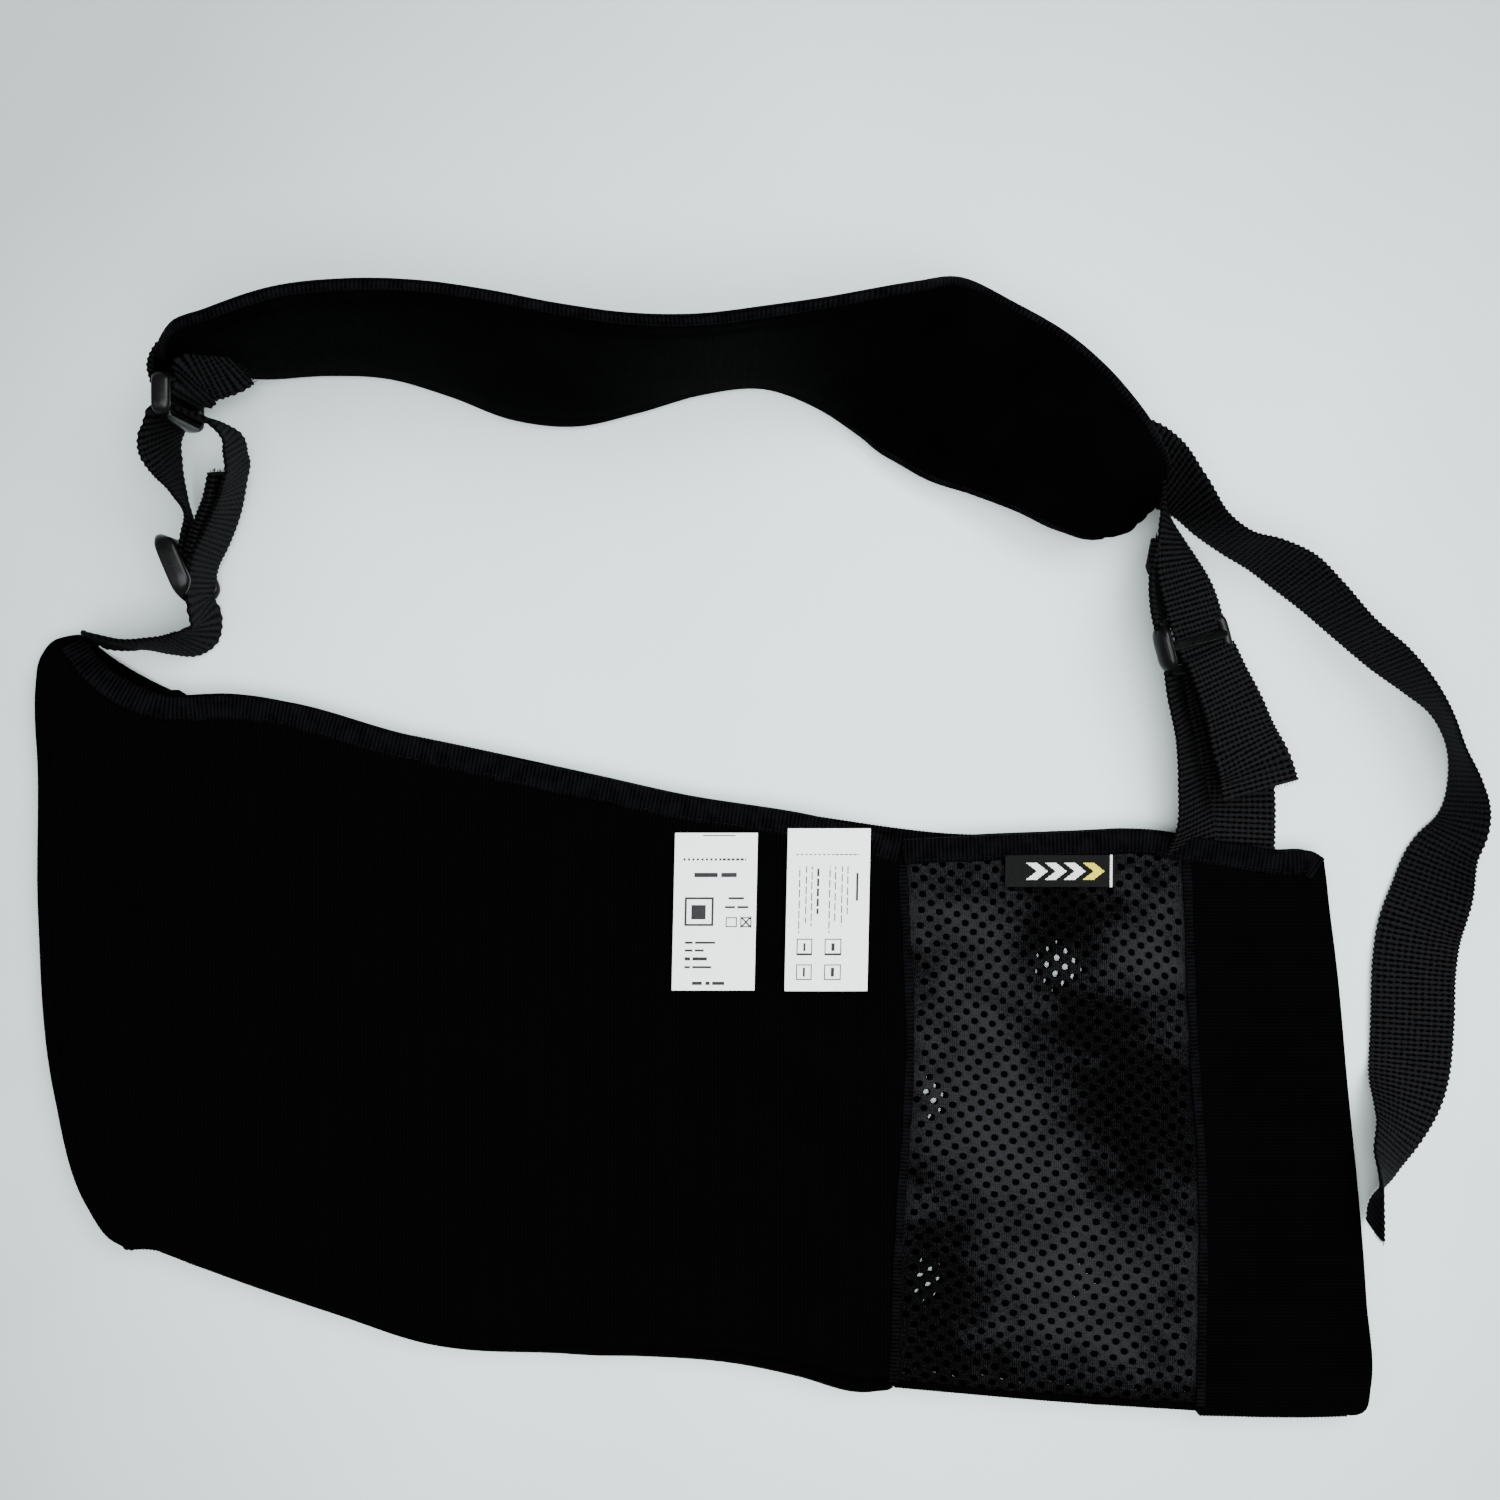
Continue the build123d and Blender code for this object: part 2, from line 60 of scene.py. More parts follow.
LAYER = 1.8
FRONT_Z = 7.4
FRONT_TOP = FRONT_Z + LAYER
POUCH_MIDDLE = FRONT_TOP / 2
BINDING = 8.0
BINDING_WALL = 0.8
STITCH_PITCH = 2.8
STITCH_LENGTH = 1.9
STITCH_THICK = 0.3
STITCH_INSET = 1.3 - BINDING  # the stitches run just inside the binding's inner edge
WEB = 25.0
WEB_WALL = 1.5
RIB_PITCH = 1.65  # the webbing's cross ribs
WARPS = 13  # columns of warp across the webbing
PANEL_RIB = 1.1  # pitch of the panels' knit ribs

# ---------------------------------------------------------------- the pouch's outline

MOUTH_ELBOW = [(-184, 48.6), (-168, 49.5), (-150, 47), (-114, 37), (-79.2, 29.7)]
MOUTH_MIDDLE = [(-78.8, 29.7), (-50, 23.3), (-24, 17.5), (19, 10.4), (46.3, 3.3)]
MOUTH_MESH = [(47, 3.2), (71, 4.4), (100, 5.6), (125, 6.2), (136.4, 4.5)]
MOUTH_WRIST = [(137, 4.4), (153, 1.8), (168, -0.4), (177.4, -0.8), (180.6, -2.8)]
ELBOW_END = [
    (-212, 68.4),
    (-217.8, 68.4),
    (-224.3, 66.4),
    (-228.3, 61.0),
    (-229.8, 52),
    (-230.0, 42),
    (-229.3, 30),
    (-229.0, -20),
    (-223.9, -78),
    (-213.4, -114),
    (-206, -124.5),
    (-199, -128.3),
]
CORNER_MOUTH = [
    (-213.4, 67.2),
    (-210.6, 62.9),
    (-206.8, 58.8),
    (-198.2, 53.0),
    (-189.4, 49.4),
    (-182, 48.6),
    (-175, 49.0),
]
FOLD_MAIN = [
    (-201, -127.9),
    (-192, -128.0),
    (-180, -132.4),
    (-136, -147.0),
    (-102, -156.9),
    (-58, -158.3),
    (-34, -158.7),
    (-8, -160.4),
    (14, -164.5),
    (33, -169.4),
    (44.2, -169.2),
]
FOLD_MESH = [(44.2, -171.9), (100, -176.7), (141.2, -179.3)]
FOLD_WRIST = [(141.2, -180.8), (177, -181.3), (188, -181)]
MAIN_SEAM = [(46.6, 3.3), (49, -60), (45.2, -128), (43.8, -172)]
MESH_SEAM = [(136.8, 4.4), (139.1, -62), (141.8, -106), (141.8, -150), (141.2, -179.6)]
HAND_END = [
    (180.6, -2.8),
    (181.4, -8.5),
    (182.4, -18),
    (184.4, -34),
    (188.8, -80),
    (191.2, -105),
    (194.2, -143),
    (195.6, -171),
    (193.8, -178.4),
    (188, -181),
]

# ---------------------------------------------------------------- strips: x, y, z, lean of the width

LEFT_GLIDE = (-177.0, 88.2, 17.4)
LEFT_GLIDE_SHORT = 23.0
LEFT_RUN = (-0.39, 0.92)
RIGHT_GLIDE = (136.8, 65.5, 16.8)
RIGHT_RUN = (0.25, -0.968)
RIGHT_LEAN = -36.0
LEFT_LOWER = [
    (-209.8, 66.4, 7.8, 66),
    (-203, 65.8, 12.0, 84),
    (-196.2, 64.8, 13, 88),
    (-187.5, 64.2, 13.3, 83),
    (-179.6, 64.8, 13.3, 79),
    (-175.6, 67.2, 13.5, 81),
    (-173.4, 72, 14.4, 86),
    (-173.8, 77.4, 16.6, 90),
    (-176.6, 90.7, 17.4, 92),
    (-176.9, 97, 17.4, 98),
    (-176.9, 103.9, 17.4, 103),
    (-179.2, 110.7, 18.6, 97),
    (-181.9, 119, 21.2, 86),
    (-182.6, 125.6, 24.6, 80),
    (-181.0, 131.0, 27.6, 84),
    (-178.6, 134.8, 29.2, 90),
    (-175.8, 135.8, 29.5, 90),
    (-172.8, 134.0, 29.3, 92),
    (-166.4, 132.0, 28, 94),
    (-161.4, 127.6, 25.6, 93),
    (-160.4, 120.6, 23, 87),
    (-162.2, 113.8, 20, 86),
    (-165.2, 105.3, 18, 89),
    (-168.8, 96.9, 17.4, 90),
    (-172.0, 90.2, 17.4, 90),
    (-173.4, 83.6, 17.0, 90),
    (-174.2, 78.6, 16.4, 90),
]
LEFT_BODY_SPLITS = (8, 14)  # the stations where the strap goes through the glide and starts round the ring
LEFT_FOLDED = [
    (-164.8, 117.6, 20.6, 90),
    (-167.4, 107.5, 18.6, 92),
    (-171.0, 99.0, 17.6, 92),
    (-173.0, 92.5, 17.4, 92),
]
RIGHT_UPPER = [
    (126.2, 116, 13.2, -86),
    (128.4, 109, 13.3, -76),
    (130.4, 99.5, 13.8, -60),
    (133.0, 88.8, 14.2, -43),
    (136.0, 80.4, 14.5, RIGHT_LEAN),
    (140.4, 66.3, 14.5, RIGHT_LEAN),
    (145.4, 52.5, 14.4, RIGHT_LEAN),
]
TAIL_FLAP = [
    (142.0, 62.6, 16.6, RIGHT_LEAN),
    (145.6, 54, 16.9, -34),
    (149.2, 45.4, 17, -29),
    (153.0, 34.2, 16.4, -20),
    (156.6, 25.6, 15.6, -10),
    (158.4, 19.0, 15, -4),
]
RIGHT_UNDER = [
    (126.4, 93, 13.4, 106),
    (125.6, 85, 13.4, 110),
    (126.4, 77, 13.4, 113),
    (129.4, 64, 13.6, 114),
]
RIGHT_FOLDED = [(125.8, 96.5, 13.6, 103), (124.6, 88.0, 13.4, 106)]
RIGHT_FLAT_LEG = [
    (141.0, 64, 12.0, -30),
    (144.6, 56, 10.0, -26),
    (147.2, 49, 7.8, -20),
    (150.5, 38, 6.0, -18),
    (153.5, 26, 4.6, -10),
    (154.3, 15, 3.9, -4),
    (154, 5.8, 3.9, 0),
    (153.4, -4, 4.2, 0),
    (152.8, -10, 4.3, 0),
]
RIGHT_EDGE_LEG = [
    (131.4, 63, 12.6, 118),
    (133.4, 50, 12.0, 120),
    (137.2, 36, 11.2, 124),
    (139.4, 22, 10.4, 130),
    (141.2, 10, 8.6, 140),
    (142.0, 2, 6.0, 158),
    (142.6, -6, 4.4, 176),
]
FREE_TAIL = [
    (112, 126.5, 6.4, 0),
    (120, 125.2, 7.2, 14),
    (127, 121.4, 8.8, 38),
    (135.6, 112.6, 12.0, 66),
    (144.2, 102.4, 12.6, 79),
    (152.0, 96.8, 12.6, 80),
    (161.1, 93.0, 12.4, 73),
    (169.9, 87.8, 12, 67),
    (178, 80.6, 12.2, 71),
    (188.8, 69.8, 12.4, 77),
    (200.2, 60.0, 12.4, 78),
    (210.0, 50.4, 12.7, 88),
    (216.4, 42.5, 12.8, 98),
    (220.6, 33.0, 12.8, 101),
    (223.4, 22, 12.9, 91),
    (223.8, 14.5, 12.9, 82),
    (222.0, 7.6, 13, 73),
    (217.5, -0.6, 12.1, 60),
    (214.4, -14.8, 8.9, 38),
    (211.5, -27, 6.4, 24),
    (210.4, -37.4, 5.6, 18),
    (210.0, -54.2, 5.2, 15),
    (209.4, -72, 3.8, 6),
    (204.8, -88, 7.9, -28),
    (199.8, -98, 10.6, -46),
    (197.0, -107, 13.1, -68),
    (195.4, -113.5, 13.4, -78),
    (195.0, -119.5, 13.4, -80),
]

# ---------------------------------------------------------------- the pad: near x, y, far x, y, width, lift

PAD_WALL = 5.0
PAD_STAND = 2.2
PAD_BACK_SHIFT = 200.0  # how far the back cover's cloth lies from the face's in the material
PAD = [
    (-179.4, 144.4, -179.0, 144.6, 19, 18),
    (-178.4, 147.4, -178.0, 147.8, 26, 13.5),
    (-175.0, 150.8, -174.8, 151.4, 38, 7),
    (-169, 152.4, -169.2, 153.7, 52, 1.4),
    (-157.6, 152.1, -157.6, 156.4, 58.5, 0),
    (-137.6, 153.1, -137.6, 162.6, 60, 0),
    (-117.6, 152.0, -117.6, 165.0, 60, 0),
    (-97.6, 146.1, -97.6, 165.1, 60, 0),
    (-77.6, 138.5, -77.6, 163.0, 60, 0),
    (-57.6, 136.5, -57.6, 158.9, 60, 0),
    (-37.6, 141.1, -37.6, 155.4, 60, 0),
    (-17.6, 147.0, -17.6, 154.6, 60, 0),
    (2.4, 148.9, 2.4, 156.9, 60, 0),
    (20, 142.2, 24.5, 161.0, 60, 0),
    (33, 133.0, 47.5, 167.8, 60, 0),
    (43, 125.3, 64.5, 173.8, 60, 0),
    (54.5, 118.7, 77.8, 168.0, 60, 0.5),
    (68.5, 113.5, 95.6, 156.0, 57, 3),
    (83, 107.2, 111.4, 139.8, 50, 7),
    (96, 100.8, 122.4, 125.6, 41, 9),
    (107.5, 98.4, 126.6, 117.0, 29, 9),
    (115.2, 100.6, 124.6, 110.0, 14, 9),
    (118.2, 103.8, 122.0, 107.6, 5.5, 9),
]
PAD_SLIDER = (115.5, 126.0, 3.9)
PAD_SLIDER_ACROSS = (0.11, -0.994)
PAD_SLIDER_BARS = 8.0
RING = (-176.0, 137.5, 29.5)
RING_SHORT = 14.5
RING_LONG = 33.0
RING_BAR = 3.0
GLIDE_LONG = 31.5
GLIDE_SHORT = 18.0
RAIL_HALF = 3.2
RAIL_FADE = 3.2  # how far from its rail a moulding's bar reaches its own section

# ---------------------------------------------------------------- the view

EYE = (-1.8, 31.6, 525.0)
VIEW_HALF = 242.25  # half the width of table in view


# ---------------------------------------------------------------- shared geometry


def smooth(stations, step):
    """A smooth line through the stations, with a point about every step millimetres."""
    points = np.array(stations, float)
    spans = np.linalg.norm(np.diff(points[:, :3], axis=0), axis=1)
    at = np.concatenate([[0], np.cumsum(spans)])
    slopes = np.gradient(points, at, axis=0)
    count = max(int(at[-1] / step), 2) + 1
    line = []
    for s in np.linspace(0, at[-1], count):
        i = min(int(np.searchsorted(at, s, side="right")) - 1, len(at) - 2)
        h = at[i + 1] - at[i]
        t = (s - at[i]) / h
        line.append(
            (2 * t**3 - 3 * t**2 + 1) * points[i]
            + (t**3 - 2 * t**2 + t) * h * slopes[i]
            + (3 * t**2 - 2 * t**3) * points[i + 1]
            + (t**3 - t**2) * h * slopes[i + 1]
        )
    return np.array(line)


def along(line):
    """How far along the line each of its points is."""
    spans = np.linalg.norm(np.diff(line[:, :3], axis=0), axis=1)
    return np.concatenate([[0], np.cumsum(spans)])


def unit(vectors):
    return vectors / np.linalg.norm(vectors, axis=-1, keepdims=True)


def frames(line):
    """For each point of a strip's line: the heading, the way across its width and the way out of its face."""
    headings = unit(np.gradient(line[:, :3], axis=0))
    side = unit(np.cross([0, 0, 1], headings))
    lean = np.radians(line[:, 3:4])
    across = side * np.cos(lean) + np.cross(headings, side) * np.sin(lean)
    return headings, across, np.cross(headings, across)


def grid_faces(rows, columns, ring=False):
    """Quads of a grid of vertices, rows by columns. A ring joins its last column to its first."""
    faces = []
    for r in range(rows - 1):
        for c in range(columns if ring else columns - 1):
            d = (c + 1) % columns
            faces.append((r * columns + c, r * columns + d, (r + 1) * columns + d, (r + 1) * columns + c))
    return faces


def cap_faces(start, columns, flip):
    """Quads that close a flat ring of vertices from its first half to its second."""
    faces = []
    for c in range(columns // 2 - 1):
        face = (start + c, start + c + 1, start + columns - 2 - c, start + columns - 1 - c)
        faces.append(face[::-1] if flip else face)
    return faces


def closed_faces(rows, columns):
    """Faces of a solid made of rows of closed rings, shut flat at both ends."""
    faces = grid_faces(rows, columns, ring=True)
    faces += cap_faces(0, columns, True)
    faces += cap_faces((rows - 1) * columns, columns, False)
    return faces


def tube_faces(first, joints, sides):
    """Faces of a round tube whose vertices start at first. The last two faces shut its ends."""
    faces = [tuple(first + v for v in face) for face in grid_faces(joints, sides, ring=True)]
    faces.append(tuple(first + m for m in range(sides))[::-1])
    faces.append(tuple(first + (joints - 1) * sides + m for m in range(sides)))
    return faces


def signed_power(value, power):
    """The value's size to a power, with the value's sign."""
    return abs(value) ** power * (1 if value > 0 else -1)


def make(name, points, faces, material, cloth=None):
    """A smooth-shaded mesh object. cloth is each point's place on the cloth, which the materials read."""
    mesh = bpy.data.meshes.new(name)
    mesh.from_pydata((np.asarray(points) * MM).tolist(), [], faces)
    mesh.update()
    mesh.shade_smooth()
    if cloth is not None:
        data = mesh.attributes.new("cloth", "FLOAT_VECTOR", "POINT")
        data.data.foreach_set("vector", (np.asarray(cloth, np.float32) * MM).ravel())
    obj = bpy.data.objects.new(name, mesh)
    bpy.context.scene.collection.objects.link(obj)
    for m in material if isinstance(material, (list, tuple)) else [material]:
        mesh.materials.append(m)
    return obj


def applied(obj):
    """The object with its modifiers made real."""
    depsgraph = bpy.context.evaluated_depsgraph_get()
    mesh = bpy.data.meshes.new_from_object(obj.evaluated_get(depsgraph))
    obj.modifiers.clear()
    obj.data = mesh
    return obj


def above_table(obj):
    """Flatten against the table whatever would reach through it."""
    for vertex in obj.data.vertices:
        vertex.co.z = max(vertex.co.z, TABLE_GAP * MM)
    return obj


def swept(name, line, section, material):
    """A solid along a strip's line. section gives a station's outline, across and out of the face."""
    distance = along(line)
    _, across, out = frames(line)
    points = []
    cloth = []
    for i, s in enumerate(distance):
        outline = section(s, s / distance[-1])
        around = 0.0
        for j, (a, b) in enumerate(outline):
            points.append(line[i, :3] + across[i] * a + out[i] * b)
            if j:
                around += sqrt((a - outline[j - 1][0]) ** 2 + (b - outline[j - 1][1]) ** 2)
            cloth.append((around, s, 0))
    return make(name, points, closed_faces(len(distance), len(outline)), material, cloth)


def capsule_outline(width, wall, count=24, power=4.0):
    """A flat rounded outline, width by wall."""
    outline = []
    for k in range(count):
        t = 2 * pi * (k + 0.5) / count
        c, s = cos(t), sin(t)
        outline.append((width / 2 * signed_power(c, 2 / power), wall / 2 * signed_power(s, 2 / power)))
    return outline


# ---------------------------------------------------------------- materials


class Shader:
    """Builds one material's nodes."""

    def __init__(self, name, roughness, sheen=0.0, coat=0.0, specular=0.5):
        self.material = bpy.data.materials.new(name)
        self.material.use_nodes = True
        self.tree = self.material.node_tree
        self.surface = self.tree.nodes["Principled BSDF"]
        self.surface.inputs["Roughness"].default_value = roughness
        self.surface.inputs["Sheen Weight"].default_value = sheen
        self.surface.inputs["Sheen Roughness"].default_value = 0.45
        self.surface.inputs["Coat Weight"].default_value = coat
        self.surface.inputs["Specular IOR Level"].default_value = specular
        self.cloth = self.tree.nodes.new("ShaderNodeAttribute")
        self.cloth.attribute_name = "cloth"
        self.split = self.tree.nodes.new("ShaderNodeSeparateXYZ")
        self.link(self.cloth.outputs["Vector"], self.split.inputs[0])

    def link(self, a, b):
        self.tree.links.new(a, b)

    def axis(self, letter):
        return self.split.outputs[letter]

    def math(self, operation, a, b=0.0):
        node = self.tree.nodes.new("ShaderNodeMath")
        node.operation = operation
        for socket, value in zip(node.inputs, (a, b)):
            if isinstance(value, (int, float)):
                socket.default_value = value
            else:
                self.link(value, socket)
        return node.outputs[0]

    def total(self, *parts):
        """The sum of the parts, each a socket and its weight."""
        result = None
        for socket, weight in parts:
            share = socket if weight == 1 else self.math("MULTIPLY", socket, weight)
            result = share if result is None else self.math("ADD", result, share)
        return result

    def wave(self, letter, pitch, shift=0.0):
        """A sine along one way of the cloth, from -1 to 1, with that pitch in millimetres."""
        turns = self.math("MULTIPLY", self.axis(letter), 2 * pi / (pitch * MM))
        return self.math("SINE", self.math("ADD", turns, shift))

    def grain(self, size, detail=2.0, stretch=(1, 1, 1)):
        """Noise from 0 to 1 whose lumps are about size millimetres."""
        place = self.tree.nodes.new("ShaderNodeVectorMath")
        place.operation = "MULTIPLY"
        self.link(self.cloth.outputs["Vector"], place.inputs[0])
        place.inputs[1].default_value = [s / (size * MM) for s in stretch]
        node = self.tree.nodes.new("ShaderNodeTexNoise")
        node.inputs["Scale"].default_value = 1.0
        node.inputs["Detail"].default_value = detail
        self.link(place.outputs[0], node.inputs["Vector"])
        return node.outputs[0]

    def colour(self, factor, dark, light):
        ramp = self.tree.nodes.new("ShaderNodeValToRGB")
        ramp.color_ramp.elements[0].color = (*dark, 1)
        ramp.color_ramp.elements[1].color = (*light, 1)
        ramp.color_ramp.elements[0].position = 0.25
        ramp.color_ramp.elements[1].position = 0.75
        self.link(factor, ramp.inputs[0])
        self.link(ramp.outputs[0], self.surface.inputs["Base Color"])

    def rough(self, factor, low, high):
        span = self.math("MULTIPLY", factor, high - low)
        self.link(self.math("ADD", span, low), self.surface.inputs["Roughness"])

    def bump(self, height, depth):
        """depth is how far, in millimetres, a height of 1 stands proud."""
        node = self.tree.nodes.new("ShaderNodeBump")
        node.inputs["Strength"].default_value = 1.0
        node.inputs["Distance"].default_value = depth * MM
        self.link(height, node.inputs["Height"])
        self.link(node.outputs[0], self.surface.inputs["Normal"])


def grey(value, blue=1.06):
    return (value, value, value * blue)


def knit_material(name, ribs, courses):
    """Ribbed knit: rounded ribs with small stitches along them."""
    shader = Shader(name, 0.9, specular=0.012)
    rib = shader.math("ABSOLUTE", shader.wave(ribs, 2 * PANEL_RIB))
    stitch = shader.wave(courses, 0.9)
    shader.bump(shader.total((rib, 1), (stitch, 0.18), (shader.grain(0.5), 0.5)), 0.16)
    # Painted shade: the colour is darker in the rib valleys and lighter on the crests, over large random
    # blotches.
    shader.colour(shader.total((rib, 0.55), (shader.grain(26, 3), 0.55)), grey(0.00005), grey(0.0006))
    shader.rough(shader.grain(3), 0.82, 0.97)
    return shader.material


def mesh_material(name, dark, light, specular):
    """Sports mesh. The cloth's third number is painted sheen and shade: the higher, the lighter."""
    shader = Shader(name, 0.62, specular=specular)
    yarn = shader.wave("X", 0.62)
    loop = shader.wave("Y", 0.8)
    lumps = shader.grain(0.45, 3, (1, 0.4, 1))
    shader.bump(shader.total((yarn, 0.6), (loop, 0.4), (lumps, 1.3)), 0.14)
    # The cloth's third number here is painted sheen and shade, not stretch; the specks below add a little
    # painted shade between the yarns.
    stretch = shader.math("MULTIPLY", shader.axis("Z"), 0.62 / MM)
    fleck_and_yarn_shade = shader.math("SUBTRACT", shader.total((yarn, 0.12), (shader.grain(0.7, 4), 0.75)), 0.17)
    shader.colour(shader.math("ADD", stretch, fleck_and_yarn_shade), dark, light)
    shader.rough(shader.grain(2.0), 0.5, 0.72)
    return shader.material


def binding_material():
    shader = Shader("binding_elastic", 0.8, specular=0.015)
    ridge = shader.wave("Y", 1.25)
    warp = shader.wave("X", 0.9)
    shader.bump(shader.total((ridge, 1), (warp, 0.35), (shader.grain(0.6), 0.6)), 0.1)
    # Partly painted shade: the ridges darken the colour a little between them, over random blotches.
    shader.colour(shader.total((ridge, 0.2), (shader.grain(5), 1)), grey(0.0001), grey(0.0026, 1.25))
    shader.rough(shader.grain(1.4), 0.68, 0.88)
    return shader.material


def webbing_material():
    shader = Shader("webbing_weave", 0.7, specular=0.014)
    yarn = shader.wave("X", 0.48)
    rib = shader.wave("Y", RIB_PITCH, pi / 2)
    warp = shader.wave("X", WEB / WARPS, pi / 2)
    shader.bump(shader.total((yarn, 0.5), (warp, 0.5), (shader.grain(0.4, 3), 1)), 0.12)
    # Painted shade: the colour is darker in the valleys between the ribs and the warps and lighter on their
    # crests, over a random grain.
    tone = shader.total((rib, 0.34), (warp, 0.16), (shader.grain(1.1, 4), 1.1))
    shader.colour(tone, grey(0.00005), grey(0.0075))
    shader.rough(shader.grain(0.8), 0.55, 0.8)
    return shader.material


def pad_material():
    shader = Shader("pad_tricot", 0.88, specular=0.01)
    course = shader.wave("Y", 0.7)
    wale = shader.wave("X", 0.9)
    shader.bump(shader.total((course, 1), (wale, 0.5), (shader.grain(0.5, 3), 1.1)), 0.05)
    shader.colour(shader.grain(22, 4), grey(0.00005), grey(0.0006))
    shader.rough(shader.grain(2.5), 0.78, 0.95)
    return shader.material


def plastic_material():
    """Moulded acetal: a fine spark texture, dulled and scuffed here and there."""
    shader = Shader("acetal_moulding", 0.34, specular=0.15)
    shader.bump(shader.grain(0.35, 3), 0.014)
    shader.colour(shader.grain(4, 3), grey(0.001, 1.0), grey(0.003, 1.02))
    shader.rough(shader.grain(2.4, 4), 0.18, 0.42)
    return shader.material


def thread_material(name, dark, light):
    shader = Shader(name, 0.7, specular=0.04)
    shader.bump(shader.wave("Y", 0.35), 0.03)
    shader.colour(shader.grain(0.8), dark, light)
    return shader.material


def satin_material(name, dark, light, specular=0.3):
    """Printed satin ribbon with a fine twill."""
    shader = Shader(name, 0.5, specular=specular)
    warp = shader.wave("X", 0.42)
    weft = shader.wave("Y", 0.5)
    shader.bump(shader.total((warp, 1), (weft, 0.7), (shader.grain(2.2, 3), 1)), 0.02)
    shader.colour(shader.grain(9, 3), dark, light)
    shader.rough(shader.grain(1.5), 0.42, 0.62)
    return shader.material


KNIT = knit_material("rib_knit_upright", "X", "Y")
KNIT_WRIST = knit_material("rib_knit_level", "Y", "X")
KNIT_ROLL = knit_material("rib_knit_fold", "Y", "X")
MESH = mesh_material("mesh_knit", grey(0.0006), grey(0.0175, 1.08), 0.018)
# The back layer is the same mesh, painted darker as the shade it lies in under the front layer.
MESH_BACK_SHADED = mesh_material("mesh_knit_behind_painted_shade", grey(0.0003), grey(0.003, 1.09), 0.02)
TAPE = binding_material()
WEBBING = webbing_material()
PAD_CLOTH = pad_material()
PLASTIC = plastic_material()
THREAD = thread_material("black_thread", grey(0.001), grey(0.006))
YARN = thread_material("frayed_yarn", grey(0.0008), grey(0.005))
WHITE_THREAD = thread_material("white_thread", (0.6, 0.6, 0.6), (0.8, 0.8, 0.8))
YELLOW_THREAD = thread_material("yellow_thread", (0.5, 0.42, 0.02), (0.72, 0.62, 0.06))
LABEL_BLACK = satin_material("label_black_satin", grey(0.0005), grey(0.0015), 0.06)
LABEL_WHITE = satin_material("label_white_satin", (0.9, 0.93, 0.92), (0.95, 0.97, 0.96))
INK = satin_material("label_print", grey(0.006), grey(0.012), 0.2)


# ---------------------------------------------------------------- webbing


def web_cloth(places, s):
    """Where a cross section of webbing lies on its cloth, the second face beside the first."""
    face = np.column_stack([places * WEB / 2, np.full(len(places), s), np.zeros(len(places))])
    return [face, face[::-1] + (2 * WEB, 0, 0)]


def webbing(name, stations, wall=WEB_WALL, crown=0.0, pinch=1.0):
    """A strip of webbing: cross ribs, staggered warps and picked edges. pinch narrows its first end."""
    line = smooth(stations, RIB_PITCH / 4)
    distance = along(line)
    _, across, out = frames(line)
    per_warp = 3
    places = np.linspace(-1, 1, WARPS * per_warp + 1)
    column = np.minimum(((places + 1) / 2 * WARPS).astype(int), WARPS - 1)
    inside = (places + 1) / 2 * WARPS - column
    ridge = np.sin(pi * np.clip(inside, 0.08, 0.92)) ** 0.5
    edge_thin = 1 - 0.45 * np.abs(places) ** 10
    points = []
    cloth = []
    for i, s in enumerate(distance):
        turn = 2 * pi * s / RIB_PITCH
        rib = 0.5 + 0.5 * cos(turn)
        half = WEB / 2 + 0.26 * cos(turn)
        half *= pinch + (1 - pinch) * min(1.0, s / 9.0)
        weave = 0.5 + 0.5 * np.cos(turn + pi * (column % 2))
        relief = 0.3 * (0.55 * rib + 0.45 * weave * ridge) - 0.15
        top = wall / 2 * edge_thin + relief + crown * (1 - places**2)
        bottom = -wall / 2 * edge_thin - relief + crown * (1 - places**2)
        points.append(line[i, :3] + np.outer(places * half, across[i]) + np.outer(top, out[i]))
        points.append(line[i, :3] + np.outer(places[::-1] * half, across[i]) + np.outer(bottom[::-1], out[i]))
        cloth += web_cloth(places, s)
    faces = closed_faces(len(distance), 2 * len(places))
    obj = above_table(make(name, np.vstack(points), faces, WEBBING, np.vstack(cloth)))
    return obj


def yarn_ends(name, stations, at_end, length=2.4, width=WEB, count=26):
    """Frayed yarn ends along a cut end of webbing."""
    line = smooth(stations, 1.0)
    headings, across, out = frames(line)
    i = -1 if at_end else 0
    way = headings[i] if at_end else -headings[i]
    points = []
    faces = []
    cloth = []
    sides = 5
    joints = 5
    for k in range(count):
        spread = (k + 0.5) / count * 2 - 1
        wander = noise.noise_vector(Vector((k * 1.7, 3.1, 5.3)))
        own = length * (0.35 + 0.65 * abs(noise.noise(Vector((k * 2.3, 9.1, 1.2)))) * 1.8)
        base = line[i, :3] + across[i] * spread * width / 2 * 0.97 + out[i] * wander.z * 0.5 - way * 0.6
        bend = across[i] * wander.x * 0.9 + out[i] * wander.y * 0.9
        first = len(points)
        for j in range(joints):
            t = j / (joints - 1)
            middle = base + way * (own + 0.6) * t + bend * t * t * own * 0.5
            thick = 0.17 * (1 - 0.55 * t)
            for m in range(sides):
                turn = 2 * pi * m / sides
                points.append(middle + across[i] * thick * cos(turn) + out[i] * thick * sin(turn))
                cloth.append((m * 0.2, own * t, 0))
        faces += tube_faces(first, joints, sides)
    obj = make(name, points, faces, YARN, cloth)
    return obj


